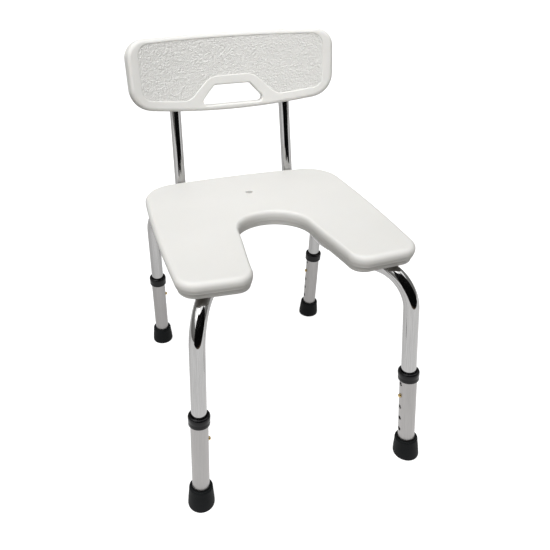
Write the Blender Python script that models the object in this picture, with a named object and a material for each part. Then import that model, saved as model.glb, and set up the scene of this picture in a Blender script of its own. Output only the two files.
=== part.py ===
"""Shower chair: U-fronted moulded seat, lift-off back rest and four telescoping splayed legs.

Metres, +Z up, floor at z = 0, origin on the floor under the middle of the whole chair's box.
Dimensions along Y are taken from the middle of the four feet; main() moves everything to the origin.
-Y is the front of the chair, -X is the left side as seen from the front.
"""
import math

import bmesh
import bpy
from mathutils import Matrix, Vector

# ---------------------------------------------------------------- driving dimensions
# from the middle of the four feet to the middle of the overall box, along Y
BOX_MIDDLE_Y = 0.00679

# feet and legs
FOOT_X_FRONT = 0.1941
FOOT_X_REAR = 0.1891
FOOT_Y = 0.2366
LEAN_Y = 0.0932
LEAN_X_FRONT = 0.0540
LEAN_X_REAR = 0.0069
LEG_OUTER_R = 0.01465
LEG_INNER_R = 0.0131
LEG_BOTTOM = 0.0121
LEG_TOP = 0.1773
HOLE_PITCH = 0.0250
HOLE_FIRST = 0.0606
HOLE_COUNT = 5
HOLE_R = 0.0037
LOCKED_HOLE = 3
BUTTON_S = HOLE_FIRST + LOCKED_HOLE * HOLE_PITCH

# seat frame tubes
FRAME_R = 0.0127
FRAME_WALL = 0.0014
FRAME_END = 0.1060
RAIL_X = 0.0950
RAIL_SKEW = math.radians(27.0)
LEG_BEND_R = 0.0615
RAIL_BEND_R = 0.1000
TUBE_HOLE_R = 0.0035

# seat
SEAT_TOP = 0.4066
SEAT_THICK = 0.0317
SEAT_HALF_FRONT = 0.1951
SEAT_HALF_REAR = 0.1990
SEAT_SIDE_BOW = 0.0063
SEAT_FRONT = -0.1963
SEAT_REAR = 0.2192
SEAT_FRONT_BOW = 0.0086
SEAT_REAR_BOW = 0.0142
SEAT_CORNER_FRONT = 0.0340
SEAT_CORNER_REAR = 0.0637
SEAT_ROUND_TOP = 0.0093
SEAT_ROUND_BOTTOM = 0.0200
SEAT_WALL = 0.0032
NOTCH_R = 0.0636
NOTCH_Y = -0.0451
NOTCH_FLARE = 0.118
NOTCH_CORNER = 0.0290
NOTCH_ROUND = 0.65
DRAIN_Y = 0.1165
DRAIN_R = 0.0067
SEAT_VENT_Y = 0.1700
SEAT_VENT_R = 0.0040
BOLT_POST_R = 0.0090
BOLT_DEPTH = 0.0165
SCREW_POST_R = 0.0060
SCREW_DEPTH = 0.0125

# back rest
BACK_R = 0.0110
BACK_WALL = 0.0012
BACK_X = 0.1180
BACK_Y = 0.2280
BACK_RAKE = 0.132
BACK_CONVERGE = 0.026
BACK_BEND_R = 0.0320
BACK_TOP = 0.6640
SOCKET_R = 0.0132
SOCKET_BORE = 0.0114
SOCKET_FRONT = 0.1280
SOCKET_REAR = 0.1860
SOCKET_SCREW_Y = 0.1500
SOCKET_SCREW_SPREAD = 0.0170
FLANGE_SIZE = (0.0460, 0.0300, 0.0022)
STUB_FRONT = 0.1295
BACK_BUTTON_Y = 0.1400
PANEL_Z = 0.6120
PANEL_HALF_W = 0.2025
PANEL_HALF_H = 0.0718
PANEL_BOW = 0.0306
PANEL_SLICE = 0.0300
PANEL_TOP_TURN = math.radians(2.5)
PANEL_LOW_TURN = math.radians(8.0)
PANEL_TOP_CORNER = 0.0340
PANEL_LOW_CORNER = 0.0440
PANEL_THICK = 0.0236
PANEL_GAP = 0.0004
PANEL_ROUND = 0.0075
PANEL_WALL = 0.0028
GRAIN_DEPTH = 0.0012
GRAIN_SIDE = 0.1835
GRAIN_TOP = 0.0635
GRAIN_LOW = -0.0485
GRAIN_CREST = -0.0065
GRAIN_CORNER = 0.0220
GRIP_TOP = -0.0235
GRIP_BOTTOM = -0.0600
GRIP_HALF_TOP = 0.0410
GRIP_HALF_BOTTOM = 0.0608
GRIP_CORNER = 0.0075
SCREW_RISES = (-0.0150, 0.0300)
SCREW_REACH = 0.0145
VENT_R = 0.0035

# fasteners
BOLT_R = 0.0028
BOLT_HOLE_R = 0.0032
BOLT_HEAD_R = 0.0062
BOLT_HEAD_H = 0.0040
SCREW_R = 0.0021
SCREW_HOLE_R = 0.0025
SCREW_HEAD_R = 0.0042
SCREW_HEAD_H = 0.0024
STRAP_T = 0.0030
STRAP_W = 0.0250
FRONT_BOLT_Y = -0.1270
REAR_BOLT_Y = 0.1140

# gap between touching pieces, and how far a drill reaches past a face
GAP = 0.0003
PAST = 0.0100
SEAT_UNDER = SEAT_TOP - SEAT_THICK
RAIL_Z = SEAT_UNDER - FRAME_R - GAP
SOCKET_Z = SEAT_UNDER - SOCKET_R - 2 * GAP
CORNERS = {"front_left": (-1, -1), "front_right": (1, -1), "rear_left": (-1, 1), "rear_right": (1, 1)}
SIDES = {"left": -1, "right": 1}


# ---------------------------------------------------------------- scene helpers
def clear_scene():
    for obj in list(bpy.data.objects):
        bpy.data.objects.remove(obj, do_unlink=True)


def material(name, colour, roughness, metallic=0.0):
    mat = bpy.data.materials.new(name)
    mat.use_nodes = True
    shader = mat.node_tree.nodes["Principled BSDF"]
    shader.inputs["Base Color"].default_value = (*colour, 1.0)
    shader.inputs["Roughness"].default_value = roughness
    shader.inputs["Metallic"].default_value = metallic
    return mat


def place(obj, matrix=None, parent=None):
    bpy.context.scene.collection.objects.link(obj)
    if parent:
        obj.parent = parent
    if matrix:
        obj.matrix_basis = matrix
    return obj


def solid(name, bm, mat=None, matrix=None, parent=None):
    """A named object from a bmesh, faces turned outward and round faces smoothed."""
    bmesh.ops.recalc_face_normals(bm, faces=bm.faces)
    mesh = bpy.data.meshes.new(name)
    bm.to_mesh(mesh)
    bm.free()
    mesh.shade_smooth()
    mesh.set_sharp_from_angle(angle=math.radians(32))
    if mat:
        mesh.materials.append(mat)
    return place(bpy.data.objects.new(name, mesh), matrix, parent)


def cutter(name, bm, matrix=None, parent=None):
    obj = solid(name, bm, None, matrix, parent)
    obj.hide_render = True
    obj.display_type = "WIRE"
    return obj


def boolean(obj, tool, operation="DIFFERENCE"):
    mod = obj.modifiers.new(operation.lower(), "BOOLEAN")
    mod.operation = operation
    mod.solver = "EXACT"
    mod.object = tool
    return obj


# ---------------------------------------------------------------- mesh builders
def skin(bm, rings, closed=False):
    """Faces between successive vertex rings; a ring of one vertex is a pole."""
    pairs = list(zip(rings, rings[1:]))
    if closed:
        pairs.append((rings[-1], rings[0]))
    for low, high in pairs:
        count = max(len(low), len(high))
        for i in range(count):
            j = (i + 1) % count
            corners = [low[i % len(low)], low[j % len(low)], high[j % len(high)], high[i % len(high)]]
            unique = list(dict.fromkeys(corners))
            if len(unique) > 2:
                bm.faces.new(unique)


def lathe(profile, segments, closed=False, tilt=None):
    """Turned shape about +Z. tilt(r, z, angle) lifts a point along the axis."""
    bm = bmesh.new()
    rings = []
    for r, z in profile:
        if r == 0:
            rings.append([bm.verts.new((0, 0, z))])
            continue
        ring = []
        for i in range(segments):
            a = math.tau * i / segments
            lift = tilt(r, z, a) if tilt else 0.0
            ring.append(bm.verts.new((r * math.cos(a), r * math.sin(a), z + lift)))
        rings.append(ring)
    skin(bm, rings, closed)
    return bm


def rod(radius, start, end, segments=10):
    """Plain round bar between two points, used for pins and for drilled holes."""
    start = Vector(start)
    axis = Vector(end) - start
    bm = lathe([(0, 0), (radius, 0), (radius, axis.length), (0, axis.length)], segments)
    bmesh.ops.rotate(bm, matrix=Matrix.Rotation(math.pi / segments, 3, "Z"), verts=bm.verts)
    turn = Vector((0, 0, 1)).rotation_difference(axis.normalized()).to_matrix().to_4x4()
    bmesh.ops.transform(bm, matrix=Matrix.Translation(start) @ turn, verts=bm.verts)
    return bm


def merged(parts):
    """One bmesh holding several separate cutter shapes."""
    out = bmesh.new()
    for part in parts:
        mesh = bpy.data.meshes.new("shape")
        part.to_mesh(mesh)
        part.free()
        out.from_mesh(mesh)
        bpy.data.meshes.remove(mesh)
    return out


def loft(loops):
    """Closed body through a stack of equal loops of 3-D points, capped at both ends."""
    bm = bmesh.new()
    rings = [[bm.verts.new(p) for p in loop] for loop in loops]
    skin(bm, rings)
    bm.faces.new(rings[0])
    bm.faces.new(rings[-1])
    return bm


def box(size, centre=(0, 0, 0)):
    bm = bmesh.new()
    bmesh.ops.create_cube(bm, size=1.0)
    bmesh.ops.scale(bm, vec=size, verts=bm.verts)
    bmesh.ops.translate(bm, vec=centre, verts=bm.verts)
    return bm


def bent_path(corners, radii, step=math.radians(18)):
    """Points along straight runs joined by arcs of the given radii at the inner corners."""
    points = [Vector(corners[0])]
    for k, radius in enumerate(radii, start=1):
        before, corner, after = (Vector(c) for c in corners[k - 1:k + 2])
        come = (corner - before).normalized()
        leave = (after - corner).normalized()
        turn = come.angle(leave)
        reach = radius * math.tan(turn / 2)
        inward = (leave - come * come.dot(leave)).normalized()
        centre = corner - come * reach + inward * radius
        count = max(2, math.ceil(turn / step))
        for i in range(count + 1):
            a = turn * i / count
            points.append(centre - inward * radius * math.cos(a) + come * radius * math.sin(a))
    points.append(Vector(corners[-1]))
    return points


def sweep(path, outer, inner, segments=16):
    """Round tube along a path, open at both ends."""
    bm = bmesh.new()
    tangents = []
    for i in range(len(path)):
        ahead = path[min(i + 1, len(path) - 1)]
        behind = path[max(i - 1, 0)]
        tangents.append((ahead - behind).normalized())
    side = tangents[0].orthogonal().normalized()
    outside = []
    inside = []
    for i, (point, tangent) in enumerate(zip(path, tangents)):
        if i:
            side = tangents[i - 1].rotation_difference(tangent) @ side
        side = (side - tangent * side.dot(tangent)).normalized()
        up = tangent.cross(side)
        spokes = []
        for k in range(segments):
            a = math.tau * k / segments
            spokes.append(side * math.cos(a) + up * math.sin(a))
        outside.append([bm.verts.new(point + s * outer) for s in spokes])
        inside.append([bm.verts.new(point + s * inner) for s in spokes])
    skin(bm, outside + inside[::-1], closed=True)
    return bm


def strip(points, thickness, width):
    """Flat spring strip: a polyline in the local x-z plane given thickness and width along y."""
    loops = []
    for i, point in enumerate(points):
        ahead = Vector(points[min(i + 1, len(points) - 1)])
        behind = Vector(points[max(i - 1, 0)])
        along = (ahead - behind).normalized()
        off = Vector((-along.y, along.x)) * thickness / 2
        p = Vector(point)
        a = p + off
        b = p - off
        half = width / 2
        loops.append([(a.x, -half, a.y), (a.x, half, a.y), (b.x, half, b.y), (b.x, -half, b.y)])
    return loft(loops)


# ---------------------------------------------------------------- outlines
def arc(cx, cy, radius_x, radius_y, start, end, count):
    points = []
    for i in range(count):
        a = start + (end - start) * i / (count - 1)
        points.append((cx + radius_x * math.cos(a), cy + radius_y * math.sin(a)))
    return points


def mirrored(half):
    """Closed outline from its right half, listed from the front middle to the rear middle."""
    left = [(-x, y) for x, y in reversed(half) if abs(x) > 1e-9]
    return half + left


def seat_half(y):
    front = SEAT_FRONT + SEAT_FRONT_BOW
    rear = SEAT_REAR - SEAT_REAR_BOW
    u = (y - front) / (rear - front)
    return SEAT_HALF_FRONT + (SEAT_HALF_REAR - SEAT_HALF_FRONT) * u + SEAT_SIDE_BOW * 4 * u * (1 - u)


def seat_front_y(x):
    return SEAT_FRONT + SEAT_FRONT_BOW * (x / SEAT_HALF_FRONT) ** 2


def seat_rear_y(x):
    return SEAT_REAR - SEAT_REAR_BOW * (x / SEAT_HALF_REAR) ** 2


def seat_outline():
    """Right half from the notch middle, along the notch and the prong, round to the rear middle."""
    notch = arc(0, NOTCH_Y, NOTCH_R, NOTCH_R, math.pi / 2, 0, 8)
    kinds = [NOTCH_ROUND] * len(notch)
    corner_y = seat_front_y(0.11) + NOTCH_CORNER
    corner_x = NOTCH_R + NOTCH_FLARE * (NOTCH_Y - corner_y)
    for i in range(1, 3):
        u = i / 3
        notch.append((NOTCH_R + (corner_x - NOTCH_R) * u, NOTCH_Y + (corner_y - NOTCH_Y) * u))
        kinds.append(NOTCH_ROUND)
    centre = corner_x + NOTCH_CORNER
    drop = corner_y - seat_front_y(centre)
    nose = arc(centre, corner_y, NOTCH_CORNER, drop, math.pi, math.pi * 1.5, 6)
    for i in range(len(nose)):
        kinds.append(NOTCH_ROUND + (1 - NOTCH_ROUND) * i / (len(nose) - 1))
    front_y = SEAT_FRONT + SEAT_FRONT_BOW + SEAT_CORNER_FRONT
    front_x = seat_half(front_y) - SEAT_CORNER_FRONT
    run = []
    for i in range(1, 3):
        x = centre + (front_x - centre) * i / 3
        run.append((x, seat_front_y(x)))
    depth = front_y - seat_front_y(front_x)
    outer = arc(front_x, front_y, SEAT_CORNER_FRONT, depth, -math.pi / 2, 0, 7)
    rear_y = SEAT_REAR - SEAT_REAR_BOW - SEAT_CORNER_REAR
    for i in range(1, 5):
        y = front_y + (rear_y - front_y) * i / 5
        outer.append((seat_half(y), y))
    rear_x = seat_half(rear_y) - SEAT_CORNER_REAR
    depth = seat_rear_y(rear_x) - rear_y
    outer += arc(rear_x, rear_y, SEAT_CORNER_REAR, depth, 0, math.pi / 2, 8)
    for i in range(1, 5):
        x = rear_x * (1 - i / 5)
        outer.append((x, seat_rear_y(x)))
    outer.append((0.0, SEAT_REAR))
    half = notch + nose + run + outer
    kinds += [1.0] * (len(run) + len(outer))
    kinds += [k for k, (x, _) in reversed(list(zip(kinds, half))) if abs(x) > 1e-9]
    return mirrored(half), kinds


def inset(outline, amounts):
    """Each point moved inward along the outline's own normal."""
    out = []
    count = len(outline)
    area = sum(outline[i][0] * outline[(i + 1) % count][1] - outline[(i + 1) % count][0] * outline[i][1]
               for i in range(count))
    sign = 1 if area > 0 else -1
    for i, (x, y) in enumerate(outline):
        ahead = outline[(i + 1) % count]
        behind = outline[i - 1]
        tangent = Vector((ahead[0] - behind[0], ahead[1] - behind[1])).normalized()
        out.append((x - tangent.y * amounts[i] * sign, y + tangent.x * amounts[i] * sign))
    return out


def rounded_levels(bottom, top, low_r, high_r, steps=3):
    """(inset, height) pairs up a wall whose lower and upper edges are rounded."""
    levels = []
    for i in range(steps + 1):
        a = math.pi / 2 * i / steps
        levels.append((low_r * (1 - math.sin(a)), bottom + low_r * (1 - math.cos(a))))
    for i in range(steps + 1):
        a = math.pi / 2 * i / steps
        levels.append((high_r * (1 - math.cos(a)), top - high_r * (1 - math.sin(a))))
    return levels


def edge_run(half_w, height, corner, turn, count):
    """From the middle to the side: an edge that turns slowly by `turn`, then a round corner."""
    end = half_w - corner * (1 - math.sin(turn))
    fall = end * math.tan(turn) / 2
    points = []
    for i in range(count):
        x = end * i / count
        points.append((x, height - fall * (x / end) ** 2))
    middle = height - fall - corner * math.cos(turn)
    return points + arc(half_w - corner, middle, corner, corner, math.pi / 2 - turn, 0, 7)


def panel_outline():
    """Back panel outline in its own plane: x across, y up the panel."""
    low = edge_run(PANEL_HALF_W, PANEL_HALF_H, PANEL_LOW_CORNER, PANEL_LOW_TURN, 5)
    top = edge_run(PANEL_HALF_W, PANEL_HALF_H, PANEL_TOP_CORNER, PANEL_TOP_TURN, 5)
    return mirrored([(x, -y) for x, y in low] + top[::-1])


def grain_outline():
    """Edge of the grained field: follows the panel, and arches over the hand hold."""
    half = [(0.0, GRAIN_CREST), (0.0200, GRAIN_CREST), (0.0380, GRAIN_CREST - 0.0008)]
    low = GRAIN_LOW
    for x, drop in ((0.0450, 0.10), (0.0540, 0.28), (0.0700, 0.66), (0.0830, 0.90), (0.0960, 1.00)):
        half.append((x, GRAIN_CREST + (low - GRAIN_CREST) * drop))
    side = GRAIN_SIDE
    rise = 0.0060
    half += arc(side - GRAIN_CORNER, low + rise + GRAIN_CORNER, GRAIN_CORNER, GRAIN_CORNER,
                -math.pi / 2, 0, 6)
    half += edge_run(side, GRAIN_TOP, GRAIN_CORNER, PANEL_TOP_TURN, 5)[::-1]
    return mirrored(half)


def grip_outline(grow=0.0):
    """Hand hold: a round-cornered opening, wider along its lower edge."""
    r = GRIP_CORNER
    half = [(0.0, GRIP_BOTTOM - grow)]
    half += arc(GRIP_HALF_BOTTOM - r, GRIP_BOTTOM + r, r + grow, r + grow, -math.pi / 2, math.pi / 6, 6)
    half += arc(GRIP_HALF_TOP - r, GRIP_TOP - r, r + grow, r + grow, math.pi / 6, math.pi / 2, 4)
    half.append((0.0, GRIP_TOP + grow))
    return mirrored(half)


# ---------------------------------------------------------------- leg frames
def foot_point(side, end):
    return Vector((side * (FOOT_X_FRONT if end < 0 else FOOT_X_REAR), end * FOOT_Y, 0))


def lean(side, end):
    """Leg direction, scaled so that its z is 1."""
    return Vector((-side * (LEAN_X_FRONT if end < 0 else LEAN_X_REAR), -end * LEAN_Y, 1))


def leg_matrix(side, end):
    """Local +Z runs up the leg, local +X points to the chair's middle, where the button is."""
    up = lean(side, end).normalized()
    across = Vector((-side, 0, 0))
    across = (across - up * across.dot(up)).normalized()
    turn = Matrix((across, up.cross(across), up)).transposed().to_4x4()
    return Matrix.Translation(foot_point(side, end)) @ turn


def rail_points(side):
    """Corner points of one side tube, from its front leg end to its rear leg end."""
    points = []
    for end in (-1, 1):
        knee = foot_point(side, end) + lean(side, end) * RAIL_Z
        tail = foot_point(side, end) + lean(side, end).normalized() * FRAME_END
        run = abs(knee.x) - RAIL_X
        joint = Vector((side * RAIL_X, knee.y - end * run / math.tan(RAIL_SKEW), RAIL_Z))
        points.append([tail, knee, joint])
    front, rear = points
    return front + rear[::-1]


def rail_x(y):
    """Distance of the rail's centre line from the middle plane at a bolt."""
    corner = rail_points(1)[1] if y < 0 else rail_points(1)[4]
    return corner.x - abs(corner.y - y) * math.tan(RAIL_SKEW)


def bolt_points(side):
    return {"front": Vector((side * rail_x(FRONT_BOLT_Y), FRONT_BOLT_Y, 0)),
            "rear": Vector((side * rail_x(REAR_BOLT_Y), REAR_BOLT_Y, 0))}


def back_x(z):
    return BACK_X - BACK_CONVERGE * (z - SEAT_TOP)


def back_axis_y(z):
    return BACK_Y + BACK_RAKE * (z - SEAT_TOP)


def socket_screw_points(side):
    x = back_x(SOCKET_Z)
    return [Vector((side * (x + off), SOCKET_SCREW_Y, 0))
            for off in (-SOCKET_SCREW_SPREAD, SOCKET_SCREW_SPREAD)]


def bow(x):
    """How far the panel's middle surface reaches forward at x compared with its middle."""
    return PANEL_BOW * (x / PANEL_HALF_W) ** 2


def bow_slope(x):
    return 2 * PANEL_BOW * x / PANEL_HALF_W ** 2


def panel_middle():
    """Local z of the middle surface at x = 0, such that the back face just clears the tubes."""
    clear = PANEL_THICK / 2 + PANEL_GAP + BACK_R
    tube = back_x(PANEL_Z)
    foot = tube / (1 + clear * bow_slope(1.0))
    return bow(foot) - clear / math.hypot(1, bow_slope(foot))


def bowed(bm, shift=0.0):
    """Flat panel shape, z measured from its middle surface, sliced across and bent forward."""
    bmesh.ops.triangulate(bm, faces=[face for face in bm.faces if len(face.verts) > 4])
    count = math.floor(PANEL_HALF_W / PANEL_SLICE)
    for i in range(-count, count + 1):
        geometry = bm.verts[:] + bm.edges[:] + bm.faces[:]
        bmesh.ops.bisect_plane(bm, geom=geometry, dist=1e-5, plane_co=((i + shift) * PANEL_SLICE, 0, 0),
                               plane_no=(1, 0, 0))
    middle = panel_middle()
    for vert in bm.verts:
        x, y, z = vert.co
        tilt = math.hypot(1, bow_slope(x))
        vert.co = (x + z * bow_slope(x) / tilt, y, middle - bow(x) + z / tilt)
    return bm


def panel_matrix():
    """Local x across to -X, y up the panel, z out of its back face, origin level with the tube axes."""
    up = Vector((0, BACK_RAKE, 1)).normalized()
    across = Vector((-1, 0, 0))
    out = across.cross(up)
    turn = Matrix((across, up, out)).transposed().to_4x4()
    return Matrix.Translation(Vector((0, back_axis_y(PANEL_Z), PANEL_Z))) @ turn


# ---------------------------------------------------------------- pieces
def build_seat(mats):
    outline, kinds = seat_outline()

    def level(amount, z):
        return [(x, y, z) for x, y in inset(outline, [amount * k for k in kinds])]

    loops = [level(a, z) for a, z in rounded_levels(SEAT_UNDER, SEAT_TOP, SEAT_ROUND_BOTTOM, SEAT_ROUND_TOP)]
    seat = solid("seat_panel", loft(loops), mats["seat"])

    hollow = []
    for a, z in rounded_levels(SEAT_UNDER + SEAT_WALL, SEAT_TOP - SEAT_WALL, 0.0170, 0.0070, 2):
        hollow.append([(x, y, z) for x, y in inset(outline, [SEAT_WALL + a * k for k in kinds])])
    cavity = cutter("cut_seat_cavity", loft(hollow))
    low = SEAT_UNDER - PAST
    high = SEAT_TOP + PAST
    posts = [rod(DRAIN_R + SEAT_WALL, (0, DRAIN_Y, low), (0, DRAIN_Y, high), 16)]
    holes = [rod(DRAIN_R, (0, DRAIN_Y, low), (0, DRAIN_Y, high), 16),
             rod(SEAT_VENT_R, (0, SEAT_VENT_Y, low), (0, SEAT_VENT_Y, SEAT_UNDER + PAST))]
    for side in SIDES.values():
        for point in bolt_points(side).values():
            posts.append(rod(BOLT_POST_R, (point.x, point.y, low), (point.x, point.y, high)))
            bottom = (point.x, point.y, SEAT_UNDER + BOLT_DEPTH)
            holes.append(rod(BOLT_HOLE_R, (point.x, point.y, low), bottom))
        for point in socket_screw_points(side):
            posts.append(rod(SCREW_POST_R, (point.x, point.y, low), (point.x, point.y, high), 12))
            bottom = (point.x, point.y, SEAT_UNDER + SCREW_DEPTH)
            holes.append(rod(SCREW_HOLE_R, (point.x, point.y, low), bottom, 12))
    boolean(cavity, cutter("cut_seat_posts", merged(posts)))
    boolean(seat, cavity)
    boolean(seat, cutter("cut_seat_holes", merged(holes)))


def build_frame(mats):
    for name, side in SIDES.items():
        path = bent_path(rail_points(side), [LEG_BEND_R, RAIL_BEND_R, RAIL_BEND_R, LEG_BEND_R])
        tube = solid(f"side_tube_{name}", sweep(path, FRAME_R, FRAME_R - FRAME_WALL), mats["frame"])
        holes = []
        for end in (-1, 1):
            frame = leg_matrix(side, end)
            holes.append(rod(TUBE_HOLE_R, frame @ Vector((LEG_INNER_R - PAST, 0, BUTTON_S)),
                             frame @ Vector((LEG_OUTER_R + PAST, 0, BUTTON_S))))
        for point in bolt_points(side).values():
            holes.append(rod(BOLT_HOLE_R, (point.x, point.y, RAIL_Z - 2 * FRAME_R),
                             (point.x, point.y, RAIL_Z + 2 * FRAME_R)))
        boolean(tube, cutter(f"cut_side_tube_{name}", merged(holes)))

        for where, point in bolt_points(side).items():
            under = RAIL_Z - FRAME_R - GAP - (STRAP_T + GAP if where == "rear" else 0)
            head = under - BOLT_HEAD_H
            top = SEAT_UNDER + BOLT_DEPTH - 0.0005
            bolt = lathe([(0, head), (BOLT_HEAD_R, head), (BOLT_HEAD_R, under), (BOLT_R, under),
                          (BOLT_R, top), (0, top)], 12)
            solid(f"seat_bolt_{where}_{name}", bolt, mats["bolt"], Matrix.Translation((point.x, point.y, 0)))

    reach = rail_x(REAR_BOLT_Y)
    level = RAIL_Z - FRAME_R - GAP - STRAP_T / 2
    outline = arc(reach, REAR_BOLT_Y, STRAP_W / 2, STRAP_W / 2, -math.pi / 2, math.pi / 2, 9)
    outline += arc(-reach, REAR_BOLT_Y, STRAP_W / 2, STRAP_W / 2, math.pi / 2, math.pi * 1.5, 9)
    loops = [[(x, y, level + off) for x, y in outline] for off in (-STRAP_T / 2, STRAP_T / 2)]
    strap = solid("cross_strap", loft(loops), mats["strap"])
    holes = [rod(BOLT_HOLE_R, (s * reach, REAR_BOLT_Y, level - 0.01), (s * reach, REAR_BOLT_Y, level + 0.01))
             for s in SIDES.values()]
    boolean(strap, cutter("cut_cross_strap", merged(holes)))


def spring_points(face, back, length, lead):
    """Folded leaf spring: one limb behind the button, the other against the far wall."""
    bend = (face - back) / 2
    middle = (face + back) / 2
    points = [(face, -lead), (face, length - bend)]
    for i in range(1, 8):
        a = math.pi * i / 8
        points.append((middle + bend * math.cos(a), length - bend + bend * math.sin(a)))
    points += [(back, length - bend), (back, -lead - 0.004)]
    return points


def snap_button(root, shoulder, tip, radius):
    """Domed peg about local +Z, from its flat root to its domed tip."""
    dome = tip - shoulder
    profile = [(0, root), (radius, root), (radius, shoulder)]
    for i in range(1, 4):
        a = math.pi / 2 * i / 4
        profile.append((radius * math.cos(a), shoulder + dome * math.sin(a)))
    profile.append((0, tip))
    return lathe(profile, 10)


def build_legs(mats):
    for name, (side, end) in CORNERS.items():
        frame = leg_matrix(side, end)
        slide = bpy.data.objects.new(f"leg_slide_{name}", None)
        place(slide, frame)

        tube = [(LEG_OUTER_R, LEG_BOTTOM), (LEG_OUTER_R, LEG_TOP),
                (LEG_INNER_R, LEG_TOP), (LEG_INNER_R, LEG_BOTTOM)]
        leg = solid(f"leg_{name}", lathe(tube, 20, closed=True), mats["leg"], parent=slide)
        holes = []
        for k in range(HOLE_COUNT):
            s = HOLE_FIRST + k * HOLE_PITCH
            holes.append(rod(HOLE_R, (0.006, 0, s), (0.020, 0, s)))
        boolean(leg, cutter(f"cut_leg_{name}", merged(holes), parent=slide))

        bore = LEG_OUTER_R + GAP
        collar = [(0.0172, 0.1690), (0.0177, 0.1697), (0.0178, 0.1762), (0.0181, 0.1815), (0.0176, 0.1855),
                  (0.0160, 0.1875), (0.0141, 0.1872), (0.0131, 0.1861),
                  (0.0131, LEG_TOP + GAP), (bore, LEG_TOP + GAP), (bore, 0.1690)]
        solid(f"collar_{name}", lathe(collar, 16, closed=True), mats["collar"], parent=slide)

        level = frame.to_3x3().inverted() @ Vector((0, 0, 1))

        def flat(r, z, a, level=level):
            """Tilts the rings near the ground so that the sole is level on the floor."""
            keep = min(max(z / 0.030, 0.0), 1.0)
            ease = 1 - keep * keep * (3 - 2 * keep)
            return -ease * r * (level.x * math.cos(a) + level.y * math.sin(a)) / level.z

        sole = [(0, 0), (0.0208, 0), (0.0225, 0.0010), (0.0229, 0.0030), (0.0225, 0.0080), (0.0208, 0.0148),
                (0.0194, 0.0215), (0.0189, 0.0295), (0.0190, 0.0345), (0.0182, 0.0382), (0.0165, 0.0392),
                (bore, 0.0385)]
        boot = lathe(sole + [(bore, LEG_BOTTOM - GAP), (0, LEG_BOTTOM - GAP)], 20, tilt=flat)
        for vert in boot.verts:
            if vert.co.xy.length < bore + 1e-6 and vert.co.z > 0.006:
                vert.co.z = 0.0385 if vert.co.z > 0.030 else LEG_BOTTOM - GAP
        solid(f"tip_{name}", boot, mats["tip"], parent=slide)

        press = bpy.data.objects.new(f"button_press_{name}", None)
        place(press, frame @ Matrix.Translation((0, 0, BUTTON_S)) @ Matrix.Rotation(math.pi / 2, 4, "Y"))
        peg = snap_button(0.0085, 0.0164, 0.0184, 0.0032)
        solid(f"leg_button_{name}", peg, mats["button"], parent=press)
        leaf = strip(spring_points(0.0080, -0.0098, 0.0300, 0.0050), 0.0006, 0.0060)
        solid(f"leg_spring_{name}", leaf, mats["spring"], frame @ Matrix.Translation((0, 0, BUTTON_S)))


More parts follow.
